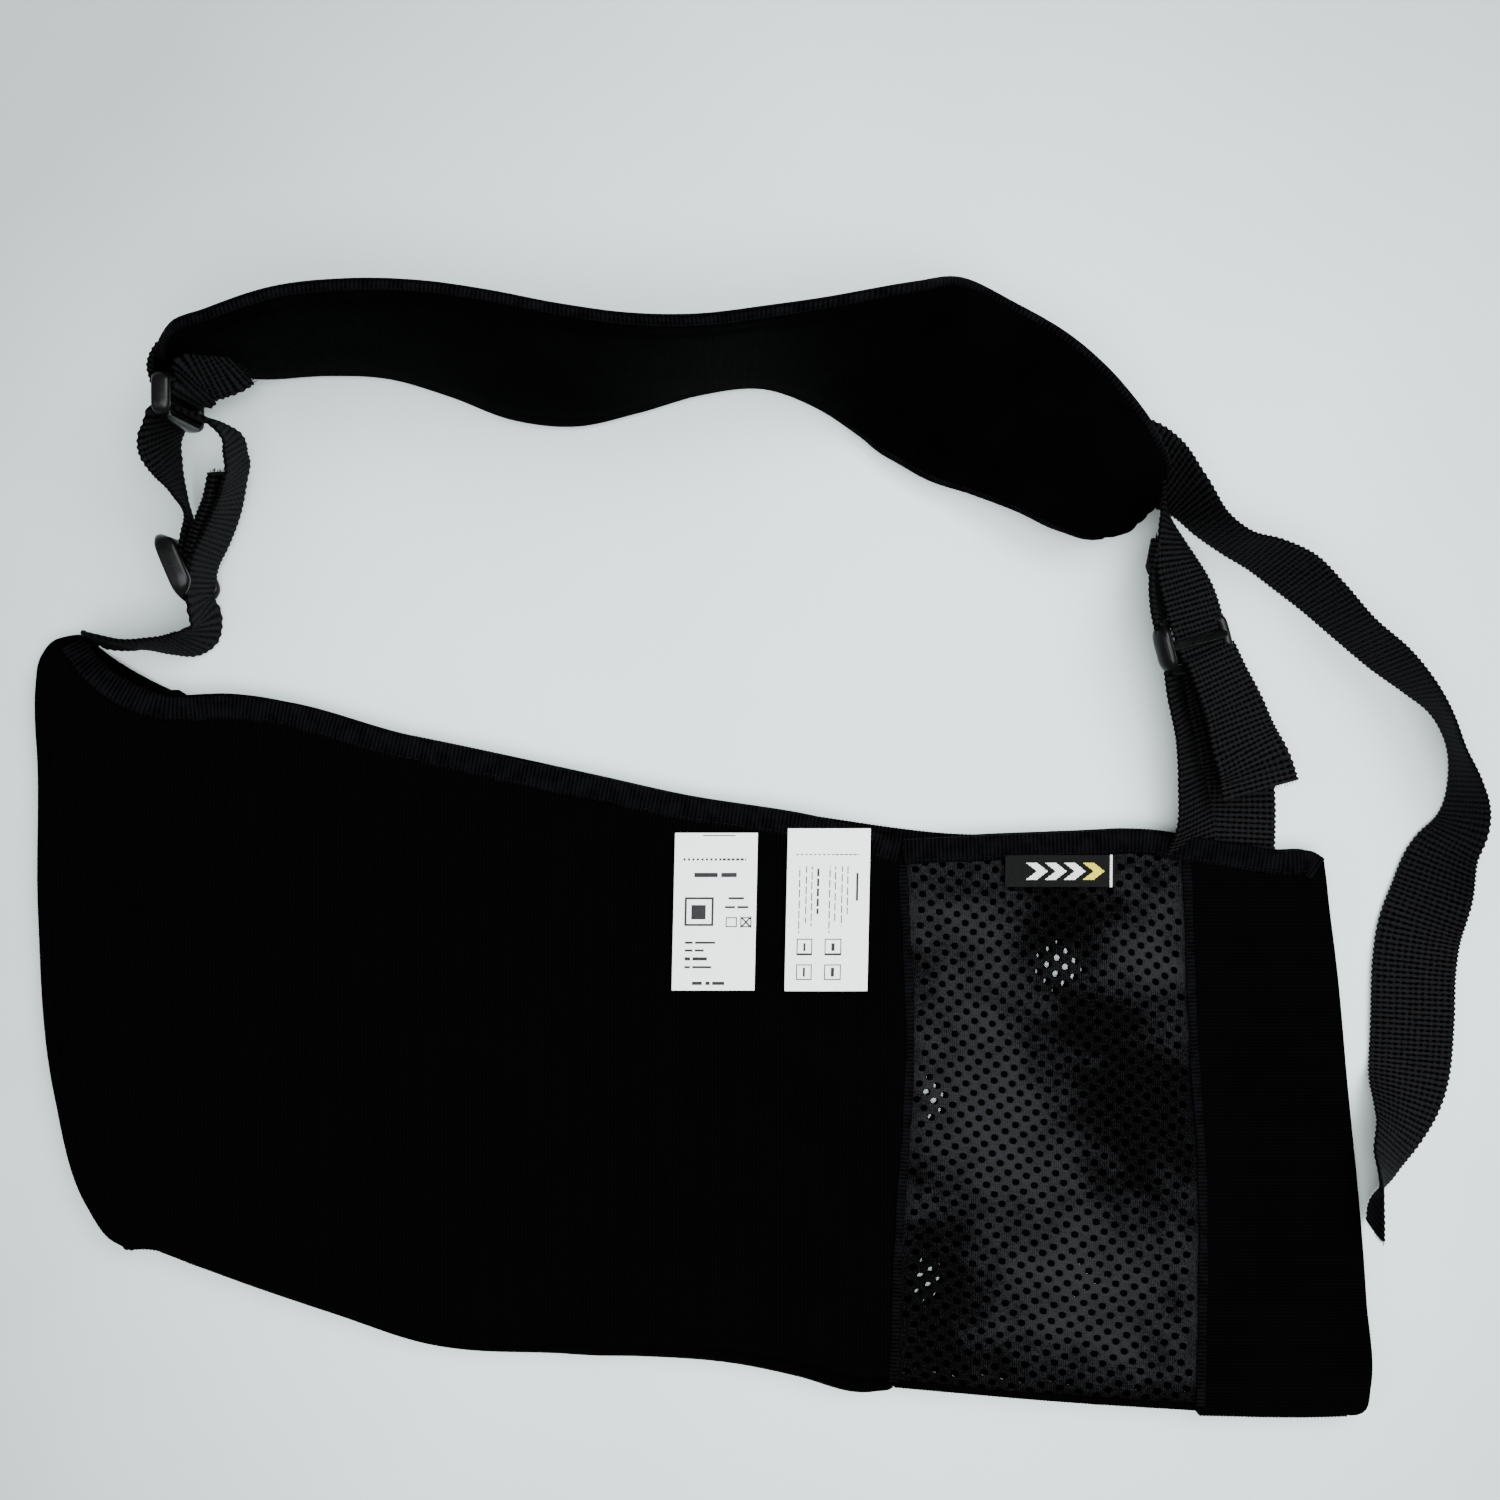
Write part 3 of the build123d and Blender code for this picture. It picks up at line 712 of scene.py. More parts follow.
def stitches(name, line, lift):
    """A row of machine stitches along a binding's inner edge, lifted out of its face."""
    distance = along(line)
    headings, across, out = frames(line)
    points = []
    faces = []
    cloth = []
    joints = 5
    sides = 6
    for start in np.arange(STITCH_PITCH / 2, distance[-1] - STITCH_PITCH / 2, STITCH_PITCH):
        first = len(points)
        for j in range(joints):
            t = j / (joints - 1)
            s = start + (t - 0.5) * STITCH_LENGTH
            i = int(np.argmin(np.abs(distance - s)))
            arch = sin(pi * t)
            middle = (
                line[i, :3]
                + headings[i] * (s - distance[i])
                + across[i] * STITCH_INSET
                + out[i] * (lift + (arch - 0.7) * STITCH_THICK)
            )
            for m in range(sides):
                turn = 2 * pi * m / sides
                radius = STITCH_THICK / 2 * (0.45 + 0.55 * arch)
                points.append(middle + across[i] * radius * cos(turn) + out[i] * radius * sin(turn))
                cloth.append((m * 0.2, s, 0))
        faces += tube_faces(first, joints, sides)
    return make(name, points, faces, THREAD, cloth)


def flat_line(points, z, step=0.6, lean=0.0):
    """A smooth line at one height, as a strip's line."""
    return smooth([(x, y, z, lean) for x, y in points], step)


# ---------------------------------------------------------------- the pouch


SAME_POINT = 1.5  # how near an edge's end the next edge's points are taken as the same


def joined(*edges):
    """Edges end to end as one list of points."""
    points = []
    for edge in edges:
        last = points[-1] if points else (inf, inf)
        points += [p for p in edge if abs(p[0] - last[0]) + abs(p[1] - last[1]) > SAME_POINT]
    return points


def edge_points(points, count):
    """Evenly spread points along a smooth curve through the given ones."""
    line = smooth([(x, y, 0) for x, y in points], 0.4)
    at = along(line)
    wanted = np.linspace(0, at[-1], count)
    return np.column_stack([np.interp(wanted, at, line[:, k]) for k in (0, 1)])


def patch(bottom, top, left, right, columns, rows):
    """A grid of points inside four edges (a Coons patch). bottom and top run left to right."""
    b = edge_points(bottom, columns)
    t = edge_points(top, columns)
    l = edge_points(left, rows)
    r = edge_points(right, rows)
    grid = np.zeros((rows, columns, 2))
    for i, v in enumerate(np.linspace(0, 1, rows)):
        for j, u in enumerate(np.linspace(0, 1, columns)):
            corners = (1 - u) * (1 - v) * b[0] + u * (1 - v) * b[-1] + (1 - u) * v * t[0] + u * v * t[-1]
            grid[i, j] = (1 - v) * b[j] + v * t[j] + (1 - u) * l[i] + u * r[i] - corners
    return grid


def segment_gap(points, start, end):
    """Each point's distance from a segment, and how far along the segment its nearest place is."""
    a = np.array(start, float)
    d = np.array(end, float) - a
    t = np.clip(((points - a) @ d) / (d @ d), 0, 1)
    return np.linalg.norm(points - a - t[:, None] * d, axis=1), t


def nearest(points, edge):
    """Each point's distance from a curve."""
    line = smooth([(x, y, 0) for x, y in edge], 2.0)[:, :2]
    result = np.full(len(points), 1e9)
    for start, end in zip(line, line[1:]):
        result = np.minimum(result, segment_gap(points, start, end)[0])
    return result


def swell(x, y, size, seed):
    """Slow, smooth lumps from about -1 to 1, size millimetres across."""
    return 1.6 * noise.noise(Vector((x / size, y / size, seed)))


def roll_height(distance, reach=7.0):
    """How far a layer has turned from the pouch's middle (0) to its own level (1), near a closed edge."""
    t = np.clip(distance / reach, 0, 1)
    return np.sqrt(1 - (1 - t) ** 2)


def sheet_solid(name, points2, heights, faces, wall, material, upward, tone=None):
    """A sheet with real thickness and those outer heights. tone, the mesh's painted sheen and shade, rides in
    the cloth's third number.
    """
    points = np.column_stack([points2, heights])
    cloth = np.column_stack([points2, np.zeros(len(points2)) if tone is None else tone])
    obj = make(name, points, faces if upward else [f[::-1] for f in faces], material, cloth)
    solid = obj.modifiers.new("wall", "SOLIDIFY")
    solid.thickness = wall * MM
    solid.offset = -1
    solid.use_quality_normals = True
    return above_table(applied(obj))


# each crease's start, end, width and depth
ELBOW_CREASES = [
    ((-217, 44), (-208, 24), 2.4, 0.9),
    ((-222, 20), (-196, -4), 6, 0.45),
    ((-214, 36), (-150, 22), 9, 0.5),
]


def crease_depth(points):
    """Soft valleys where the elbow corner pulls the cloth."""
    depth = np.zeros(len(points))
    for start, end, width, deep in ELBOW_CREASES:
        gap, t = segment_gap(points, start, end)
        fade = np.sin(pi * np.clip(t, 0.02, 0.98))
        depth += deep * fade * np.exp(-((gap / width) ** 2))
    return depth


MAIN_TOP = joined(CORNER_MOUTH, MOUTH_ELBOW[1:], MOUTH_MIDDLE)
MAIN_BOTTOM = [(-205, -125.6)] + FOLD_MAIN[1:]
MAIN_LEFT = [(-205, -125.6)] + ELBOW_END[-3:1:-1] + [(-216.4, 68), (-213.4, 67.2)]
CLOSED = joined(ELBOW_END, FOLD_MAIN[1:], FOLD_MESH, FOLD_WRIST)


def main_cloth(side):
    """The big knit panel of one layer."""
    front = side == "front"
    grid = patch(MAIN_BOTTOM, MAIN_TOP, MAIN_LEFT, MAIN_SEAM[::-1], 150, 100)
    rows, columns = grid.shape[:2]
    flat = grid.reshape(-1, 2)
    closed = nearest(flat, CLOSED)
    rolled = roll_height(closed)
    lumps = np.array([swell(x, y, 62, 1.3) * 0.55 + swell(x, y, 24, 4.1) * 0.16 for x, y in flat])
    top_level = FRONT_TOP - 0.25 + lumps - crease_depth(flat)
    groove = 0.45 * np.exp(-(((closed - 4.2) / 0.8) ** 2))
    if front:
        heights = POUCH_MIDDLE + (top_level - POUCH_MIDDLE) * rolled - groove
    else:
        heights = POUCH_MIDDLE - (POUCH_MIDDLE - 0.05) * rolled + 0.5 * groove
    obj = sheet_solid(f"{side}_main_cloth", flat, heights, grid_faces(rows, columns), LAYER, KNIT, front)
    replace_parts(obj, f"{side}_main_panel")
    return obj


def wrist_cloth(side):
    """The knit panel of one layer at the hand's end, with its hem."""
    front = side == "front"
    grid = patch(FOLD_WRIST, MOUTH_WRIST, MESH_SEAM[::-1], HAND_END[::-1], 44, 110)
    rows, columns = grid.shape[:2]
    flat = grid.reshape(-1, 2)
    rolled = roll_height(nearest(flat, FOLD_WRIST), 5.0)
    hem = nearest(flat, HAND_END)
    lumps = np.array([swell(x, y, 40, 7.7) * 0.4 for x, y in flat])
    edge = 0.55 * np.exp(-((hem / 1.2) ** 2)) + 0.35 * np.exp(-(((hem - 9.5) / 0.7) ** 2))
    if front:
        heights = POUCH_MIDDLE + (FRONT_TOP - 0.2 + lumps - POUCH_MIDDLE) * rolled - edge
    else:
        heights = POUCH_MIDDLE - (POUCH_MIDDLE - 0.05) * rolled + edge
    faces = grid_faces(rows, columns)
    obj = sheet_solid(f"{side}_wrist_cloth", flat, heights, faces, LAYER, KNIT_WRIST, front)
    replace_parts(obj, f"{side}_wrist_panel")
    return obj


# where the mesh gets a painted sheen or, with a minus, painted shade: centre, size and weight
MESH_PAINTED_LIGHT = [
    ((70, -27), 24, 0.5),
    ((72, -62), 20, 0.75),
    ((78, -92), 22, 0.85),
    ((106, -136), 30, 1.0),
    ((127, -34), 15, 0.85),
    ((57, -14), 14, 0.3),
    ((52, -40), 9, -0.35),
    ((96, -21), 13, -0.75),
    ((104, -56), 15, -0.7),
    ((123, -78), 16, -0.85),
    ((118, -106), 13, -0.5),
    ((55, -134), 15, -0.8),
    ((58, -160), 16, -0.6),
]
OVERHEAD = np.array(EYE[:2])
LAYER_SPREAD = 0.0135  # the gap between the layers over the height they are seen from
HOLE_PITCH = 6.0
HOLE_ROW = 2.52
HOLE_WIDE = 2.4
HOLE_TALL = 2.3
MESH_WALL = 0.55
MESH_TURN = radians(-7.6)  # how far the rows of holes are turned from the panel's edges
# each dent's centre, size and depth, and each ridge's start, end, width and height
MESH_DENTS = [((96, -37), 13, 3.6), ((53, -80), 12, 3.4), ((52, -137), 13, 3.0)]
MESH_RIDGES = [
    ((60, -22), (104, -118), 15, 1.5),
    ((112, -20), (126, -96), 9, 1.1),
    ((66, -150), (122, -132), 12, 0.9),
]


def mesh_painted_light(points, floor_edge):
    """The mesh's painted sheen and shade, from 0 (dark) to 1 (light), darker near the bottom fold."""
    tone = np.full(len(points), 0.22)
    for centre, size, weight in MESH_PAINTED_LIGHT:
        gap = ((points - centre) ** 2).sum(axis=1)
        tone += 0.62 * weight * np.exp(-gap / size**2)
    tone += np.array([0.2 * swell(x + 0.5 * y, y, 11, 6.6) + 0.12 * swell(x, y, 5, 2.6) for x, y in points])
    # Painted shade: darker within about 11 mm of the bottom fold.
    return np.clip(tone, 0, 1) * np.clip((floor_edge - 2) / 9, 0.15, 1)


def mesh_relief(x, y):
    """The mesh's lumps over its flat level: ridges up and dents down to the back layer."""
    height = 0.55 * swell(x, y, 34, 2.2) + 0.3 * swell(x, y, 14, 5.2)
    for (cx, cy), size, deep in MESH_DENTS:
        height -= deep * np.exp(-((x - cx) ** 2 + (y - cy) ** 2) / size**2)
    for (ax, ay), (bx, by), size, tall in MESH_RIDGES:
        dx, dy = bx - ax, by - ay
        t = np.clip(((x - ax) * dx + (y - ay) * dy) / (dx * dx + dy * dy), 0, 1)
        gap = (x - ax - t * dx) ** 2 + (y - ay - t * dy) ** 2
        height += tall * np.exp(-gap / size**2)
    return height


def behind_shift(points):
    """How far the back mesh lies from the front mesh's pattern.

    Seen from above, its holes sit between the front's, except in the dents, where they line up.
    """
    rim = np.minimum(nearest(points, MOUTH_MESH), nearest(points, FOLD_MESH))
    loose = np.clip(rim / 8, 0, 1)[:, None]
    shift = LAYER_SPREAD * (points - OVERHEAD)
    for centre, size, _ in MESH_DENTS:
        near = np.exp(-((points - centre) ** 2).sum(axis=1) / (0.55 * size) ** 2)[:, None]
        shift = shift * (1 - 0.55 * near) + near * HOLE_PITCH / 2 * np.array([cos(MESH_TURN), sin(MESH_TURN)])
    return shift * loose


def mesh_cloth(side):
    """Sports mesh: bricks of knit, each with a hole, in half-offset rows."""
    front = side == "front"
    across = 16
    down = 70
    grid = patch(FOLD_MESH, MOUTH_MESH, MAIN_SEAM[::-1], MESH_SEAM[::-1], 4 * across + 1, down + 1)
    if not front:
        grid = grid + behind_shift(grid.reshape(-1, 2)).reshape(grid.shape)
    odd = 1 if front else 0  # the layers' holes are half a pitch apart, which hides most of the table
    points = []
    index = {}

    def turned(u, v):
        """Column u (in quarter bricks) and row v of the pattern, as a place in the panel's grid."""
        x = (u / 4 - across / 2) * HOLE_PITCH
        y = (v - down / 2) * HOLE_ROW
        column = (x * cos(MESH_TURN) - y * sin(MESH_TURN)) / HOLE_PITCH * 4 + 2 * across
        row = (x * sin(MESH_TURN) + y * cos(MESH_TURN)) / HOLE_ROW + down / 2
        return column, row

    def within(u, v):
        column, row = turned(u, v)
        return 0 <= column <= 4 * across and 0 <= row <= down

    def place(u, v):
        """A vertex of the pattern, shared between bricks and kept inside the panel."""
        column, row = turned(u, v)
        column = min(max(column, 0), 4 * across)
        row = min(max(row, 0), down)
        key = (round(column * 1000), round(row * 1000))
        if key not in index:
            i = min(int(row), down - 1)
            j = min(int(column), 4 * across - 1)
            a, b = column - j, row - i
            index[key] = len(points)
            points.append(
                (1 - a) * (1 - b) * grid[i, j]
                + a * (1 - b) * grid[i, j + 1]
                + (1 - a) * b * grid[i + 1, j]
                + a * b * grid[i + 1, j + 1]
            )
        return index[key]

    faces = []
    wide = HOLE_WIDE / HOLE_PITCH * 2
    tall = HOLE_TALL / HOLE_ROW / 2
    spare_rows = 5
    spare_bricks = 3
    for row in range(-spare_rows, down + spare_rows):
        first = -4 * spare_bricks - (2 if row % 2 == odd else 0)
        for left in range(first, 4 * (across + spare_bricks), 4):
            brick = [
                (left + 4, row + 0.5), (left + 4, row + 1), (left + 2, row + 1), (left, row + 1),
                (left, row + 0.5), (left, row), (left + 2, row), (left + 4, row),
            ]
            inside = [within(u, v) for u, v in brick]
            if not any(inside):
                continue
            outer = [place(u, v) for u, v in brick]
            if not all(inside):
                faces.append(list(dict.fromkeys(outer)))
                continue
            hole = [
                place(left + 2 + wide * cos(pi * k / 4), row + 0.5 + tall * sin(pi * k / 4)) for k in range(8)
            ]
            for k in range(8):
                n = (k + 1) % 8
                faces.append([outer[k], outer[n], hole[n], hole[k]])
    faces = [face for face in faces if len(face) > 2]
    flat = np.array(points)
    fold = nearest(flat, FOLD_MESH)
    rolled = roll_height(fold, 6.0)
    rim = np.minimum(nearest(flat, MAIN_SEAM), nearest(flat, MESH_SEAM))
    rim = np.minimum(rim, nearest(flat, MOUTH_MESH) - 5)
    calm = np.clip(rim / 12, 0, 1) ** 0.7
    relief = np.array([mesh_relief(x, y) for x, y in flat]) * calm
    if front:
        level = FRONT_TOP - 0.9 + relief
    else:
        level = 0.25 + 0.35 * (1 + np.array([swell(x, y, 30, 9.4) for x, y in flat])) * calm
    heights = POUCH_MIDDLE - 0.5 + (level - POUCH_MIDDLE + 0.5) * rolled
    # The colour's painted sheen and shade; the back layer gets the darker painted-shade copy of the mesh.
    tone = mesh_painted_light(flat, fold)
    material = MESH if front else MESH_BACK_SHADED
    obj = sheet_solid(f"{side}_mesh_cloth", flat, heights, faces, MESH_WALL, material, True, tone)
    rounder = obj.modifiers.new("rounder", "SUBSURF")
    rounder.levels = 1
    rounder.render_levels = 1
    above_table(applied(obj))
    obj.data.shade_smooth()
    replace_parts(obj, f"{side}_mesh_panel")
    return obj


def fold_roll(name, edge, top, material, node, knurl, width=6.0):
    """A closed edge of the pouch: the cloth turning over in a knurled roll."""
    line = flat_line(edge, top / 2, PANEL_RIB / 5)

    def section(s, t):
        swing = 2 * pi * s / PANEL_RIB
        return [
            (a + width / 2 + (knurl * cos(swing) if a < 0 else 0), b)
            for a, b in capsule_outline(width, top - 0.2 + 0.6 * knurl * cos(swing), 20, 2.6)
        ]

    obj = swept(name, line, section, material)
    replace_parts(obj, node)
    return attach(obj, "pouch")


def binding_along(name, line, wall, depth):
    """Elastic tape folded over an edge: a flat rounded sleeve with fine cross ridges."""
    ridge = 1.25

    def section(s, t):
        swing = cos(2 * pi * s / ridge)
        wander = 0.35 * noise.noise(Vector((line[0, 0] + s / 14, wall, 1.5)))
        outline = []
        count = 22
        for k in range(count):
            turn = 2 * pi * (k + 0.5) / count
            c, b = cos(turn), sin(turn)
            a = depth / 2 * signed_power(c, 0.45)
            bulge = 1 + 0.16 * (1 if c > 0 else -1) * abs(c)
            outline.append((
                a - depth / 2 + (wander if c < 0 else 0.08 * swing),
                (wall / 2 * bulge + 0.07 * swing) * signed_power(b, 0.5),
            ))
        return outline

    return swept(name, line, section, TAPE)


def binding_tape(name, edge, z, wall, nodes, depth=BINDING):
    """Elastic tape on a level edge, and the line that it follows."""
    line = flat_line(edge, z, 0.25)
    obj = binding_along(name, line, wall, depth)
    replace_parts(obj, *nodes)
    return obj, line


def elbow_corner():
    """The corner that holds the strap: the back layer's edge behind the mouth, and the binding up to it."""
    low = [(-226, 50), (-205, 44), (-181, 44)]
    high = [(-214.5, 67.6), (-207.2, 61.6), (-196, 54.8), (-181, 47.8)]
    grid = patch(low, high, [low[0], (-222, 62), high[0]], [low[-1], high[-1]], 40, 24)
    rows, columns = grid.shape[:2]
    flat = grid.reshape(-1, 2)
    rim = nearest(flat, high)
    heights = 2.6 + 1.6 * np.exp(-((rim / 4) ** 2)) * (1 - np.clip((flat[:, 0] + 214) / 30, 0, 1))
    back = sheet_solid("elbow_corner_cloth", flat, heights, grid_faces(rows, columns), 1.6, KNIT, True)
    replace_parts(back, "elbow_corner_tab")
    line = smooth([(x, y, 7.6 + 1.4 * k / 5, -16 + 3.2 * k) for k, (x, y) in enumerate(CORNER_MOUTH)], 0.25)
    tape = binding_along("elbow_corner_tape", line, 3.2, BINDING)
    seam = stitches("elbow_corner_stitches", line, 1.6)
    for piece in (tape, seam):
        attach(piece, "pouch")
    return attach(back, "pouch")


def build_pouch():
    """Both layers, the closed edges, the elbow corner and the bindings."""
    moving = []
    for side in ("back", "front"):
        main = main_cloth(side)
        mesh = mesh_cloth(side)
        wrist = wrist_cloth(side)
        if side == "back":
            for obj in (main, mesh, wrist):
                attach(obj, "pouch")
        else:
            moving.append(main)
            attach(mesh, "pouch_front")
            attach(wrist, "pouch_front")
    fold_roll("elbow_end_roll", ELBOW_END, FRONT_TOP, KNIT, "elbow_end_seam", 0.0)
    fold_roll("bottom_roll_main", FOLD_MAIN, FRONT_TOP, KNIT_ROLL, "bottom_fold_main", 0.22)
    fold_roll("bottom_roll_mesh", FOLD_MESH, FRONT_TOP - 0.8, KNIT_ROLL, "bottom_fold_mesh", 0.1, 3.4)
    fold_roll("bottom_roll_wrist", FOLD_WRIST, FRONT_TOP, KNIT_ROLL, "bottom_fold_wrist", 0.22)
    elbow_corner()

    wall = LAYER + 2 * BINDING_WALL
    z = FRONT_Z + LAYER / 2
    runs = (
        ("front_tape_elbow", MOUTH_ELBOW, ["front_binding_elbow"], 0.0),
        ("front_tape_middle", [(-81.5, 29.6)] + MOUTH_MIDDLE[1:], ["front_binding_middle"], 0.25),
        ("front_tape_mesh", MOUTH_MESH, ["front_binding_mesh"], 0.0),
        ("front_tape_wrist", MOUTH_WRIST, ["front_binding_wrist"], 0.0),
    )
    for name, edge, nodes, extra in runs:
        tape, line = binding_tape(name, edge, z + extra / 2, wall - 0.2 + extra, nodes)
        seam = stitches(name + "_stitches", line, (wall + extra) / 2 - 0.02)
        if name == "front_tape_elbow":
            moving += [tape, seam]
        else:
            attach(tape, "pouch_front")
            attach(seam, "pouch_front")
    back_edge = [(-188, 49.4)] + MOUTH_ELBOW[3:-1] + MOUTH_MIDDLE[1:-1] + MOUTH_MESH[1:-1] + MOUTH_WRIST[1:]
    back, _ = binding_tape("back_tape", back_edge, 1.35, 2.4, ["back_binding"], BINDING - 1)
    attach(back, "pouch")
    for obj in moving:
        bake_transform(obj)


def seam_tapes(side):
    """The flat tapes over the seams beside the mesh."""
    front = side == "front"
    z = FRONT_TOP + 0.12 if front else LAYER + 0.35
    pieces = []

    def section(s, t):
        return capsule_outline(2.8 + 0.2 * sin(s / 5), 0.9 + 0.06 * cos(2 * pi * s / 1.3), 16, 3.0)

    for tag, seam in (("main", MAIN_SEAM), ("wrist", MESH_SEAM)):
        start = [(seam[0][0], seam[0][1] - BINDING)] + seam[1:-1] + [(seam[-1][0], seam[-1][1] + 3)]
        tape = swept(f"{side}_seam_{tag}", flat_line(start, z, 0.8), section, TAPE)
        pieces.append(tape)
    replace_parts(pieces[0], f"{side}_seam_tapes")
    for piece in pieces:
        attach(piece, "pouch_front" if front else "pouch")


# ---------------------------------------------------------------- labels


def label_grid(name, x, top, width, length, z, materials, paint, cell=0.35):
    """A label as a fine grid. paint(u, v) picks a cell's material, u from the left and v from the top."""
    columns = int(width / cell)
    rows = int(length / cell)
    points = []
    cloth = []
    for i in range(rows + 1):
        v = length * i / rows
        for j in range(columns + 1):
            u = width * j / columns
            curl = 0.5 * (v / length) ** 2 + 0.16 * sin(3.2 * u / width) * (v / length)
            points.append((x + u - 0.022 * v, top - v, z + curl))
            cloth.append((u, v, 0))
    faces = [face[::-1] for face in grid_faces(rows + 1, columns + 1)]
    obj = make(name, points, faces, materials, cloth)
    for k, polygon in enumerate(obj.data.polygons):
        i, j = divmod(k, columns)
        polygon.material_index = paint((j + 0.5) * width / columns, (i + 0.5) * length / rows)
    solid = obj.modifiers.new("wall", "SOLIDIFY")
    solid.thickness = 0.3 * MM
    solid.offset = -1
    return applied(obj)


def bars(u, v, left, top, widths, height):
    """Whether a cell lies in a row of print bars."""
    if not top <= v < top + height:
        return False
    at = left
    for width in widths:
        if at <= u < at + width:
            return True
        at += width + 0.9
    return False


def ring_of(u, v, cx, cy, half, line):
    """Whether a cell lies on a square outline."""
    far = max(abs(u - cx), abs(v - cy))
    return half - line <= far < half


def fibre_print(u, v):
    """A stitch, a cut line, a size row, care symbols and four rows of fibre content, all as plain marks."""
    if 0.6 <= v < 1.1 and 9 <= u < 19:
        return 1
    if 8.2 <= v < 8.6 and 2 <= u < 22.5 and (u % 1.4) < 0.8:
        return 1
    if bars(u, v, 6.4, 12.6, (7.4, 5.0), 1.5):
        return 1
    if ring_of(u, v, 8.0, 25, 4.6, 0.7) or (abs(u - 8.0) < 2.2 and abs(v - 25) < 2.2):
        return 1
    if bars(u, v, 17.2, 20.2, (5.2,), 1.0) or bars(u, v, 16.4, 23.0, (3.0, 3.4), 1.0):
        return 1
    if ring_of(u, v, 18.4, 28.2, 1.7, 0.4) or ring_of(u, v, 23.0, 28.2, 1.7, 0.4):
        return 1
    if abs(abs(u - 23.0) - abs(v - 28.2)) < 0.3 and abs(u - 23.0) < 1.7:
        return 1
    for k, widths in enumerate(((2.2, 6.2), (2.2, 2.8), (1.6, 4.6), (1.6, 5.8))):
        if bars(u, v, 4.0, 34.2 + 2.6 * k, widths, 0.9):
            return 1
    return int(bars(u, v, 6.2, 47.0, (3.4, 1.4, 4.0), 0.9))


def maker_print(u, v):
    """A cut line, two columns of rows that run down the label, and four plain boxes."""
    if 8.2 <= v < 8.6 and 2 <= u < 22.5 and (u % 1.4) < 0.8:
        return 1
    for k, length in enumerate((21, 18, 19, 15)):
        if abs(u - 4.2 - 1.9 * k) < 0.22 and 12 <= v < 12 + length and (v * 0.8 + k) % 2.6 < 2.0:
            return 1
        if abs(u - 13.6 - 1.9 * k) < 0.22 and 12 <= v < 12 + length and (v * 0.8 + 2 * k) % 2.6 < 2.0:
            return 1
    for cu, cv in ((6.0, 37.4), (6.0, 45.4), (15.0, 37.4), (15.0, 45.4)):
        if ring_of(u, v, cu, cv, 2.6, 0.4):
            return 1
        if abs(u - cu) < 0.5 and abs(v - cv) < 1.3:
            return 1
    return int(bars(u, v, 22.0, 14.0, (0.8,), 9))


def woven_print(u, v):
    """A plain motif: three white chevrons and a yellow one, and the white thread line at the label's end."""
    if 33.2 <= u < 33.9:
        return 1
    bend = abs(v - 5.2)
    for k in range(4):
        if 4.6 + 6.0 * k <= u - 5.5 + 1.3 * bend < 8.0 + 6.0 * k and bend < 2.6:
            return 2 if k == 3 else 1
    return 0


def build_labels():
    over = FRONT_TOP + BINDING_WALL + BINDING_WALL / 2 + 0.5
    print_materials = [LABEL_WHITE, INK]
    for name, node, x, top, length, paint in (
        ("fibre_label_cloth", "care_label_fibre", -25.5, 5.4, 49.8, fibre_print),
        ("maker_label_cloth", "care_label_maker", 10.2, 6.8, 51.4, maker_print),
    ):
        label = label_grid(name, x, top, 26.2, length, over, print_materials, paint)
        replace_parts(label, node)
        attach(label, node)
    threads = [LABEL_BLACK, WHITE_THREAD, YELLOW_THREAD]
    on_mesh = FRONT_TOP + 0.75
    woven = label_grid("woven_label_cloth", 79.1, -1.6, 35.0, 10.2, on_mesh, threads, woven_print, 0.25)
    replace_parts(woven, "woven_label")
    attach(woven, "pouch_front")


# ---------------------------------------------------------------- plastic


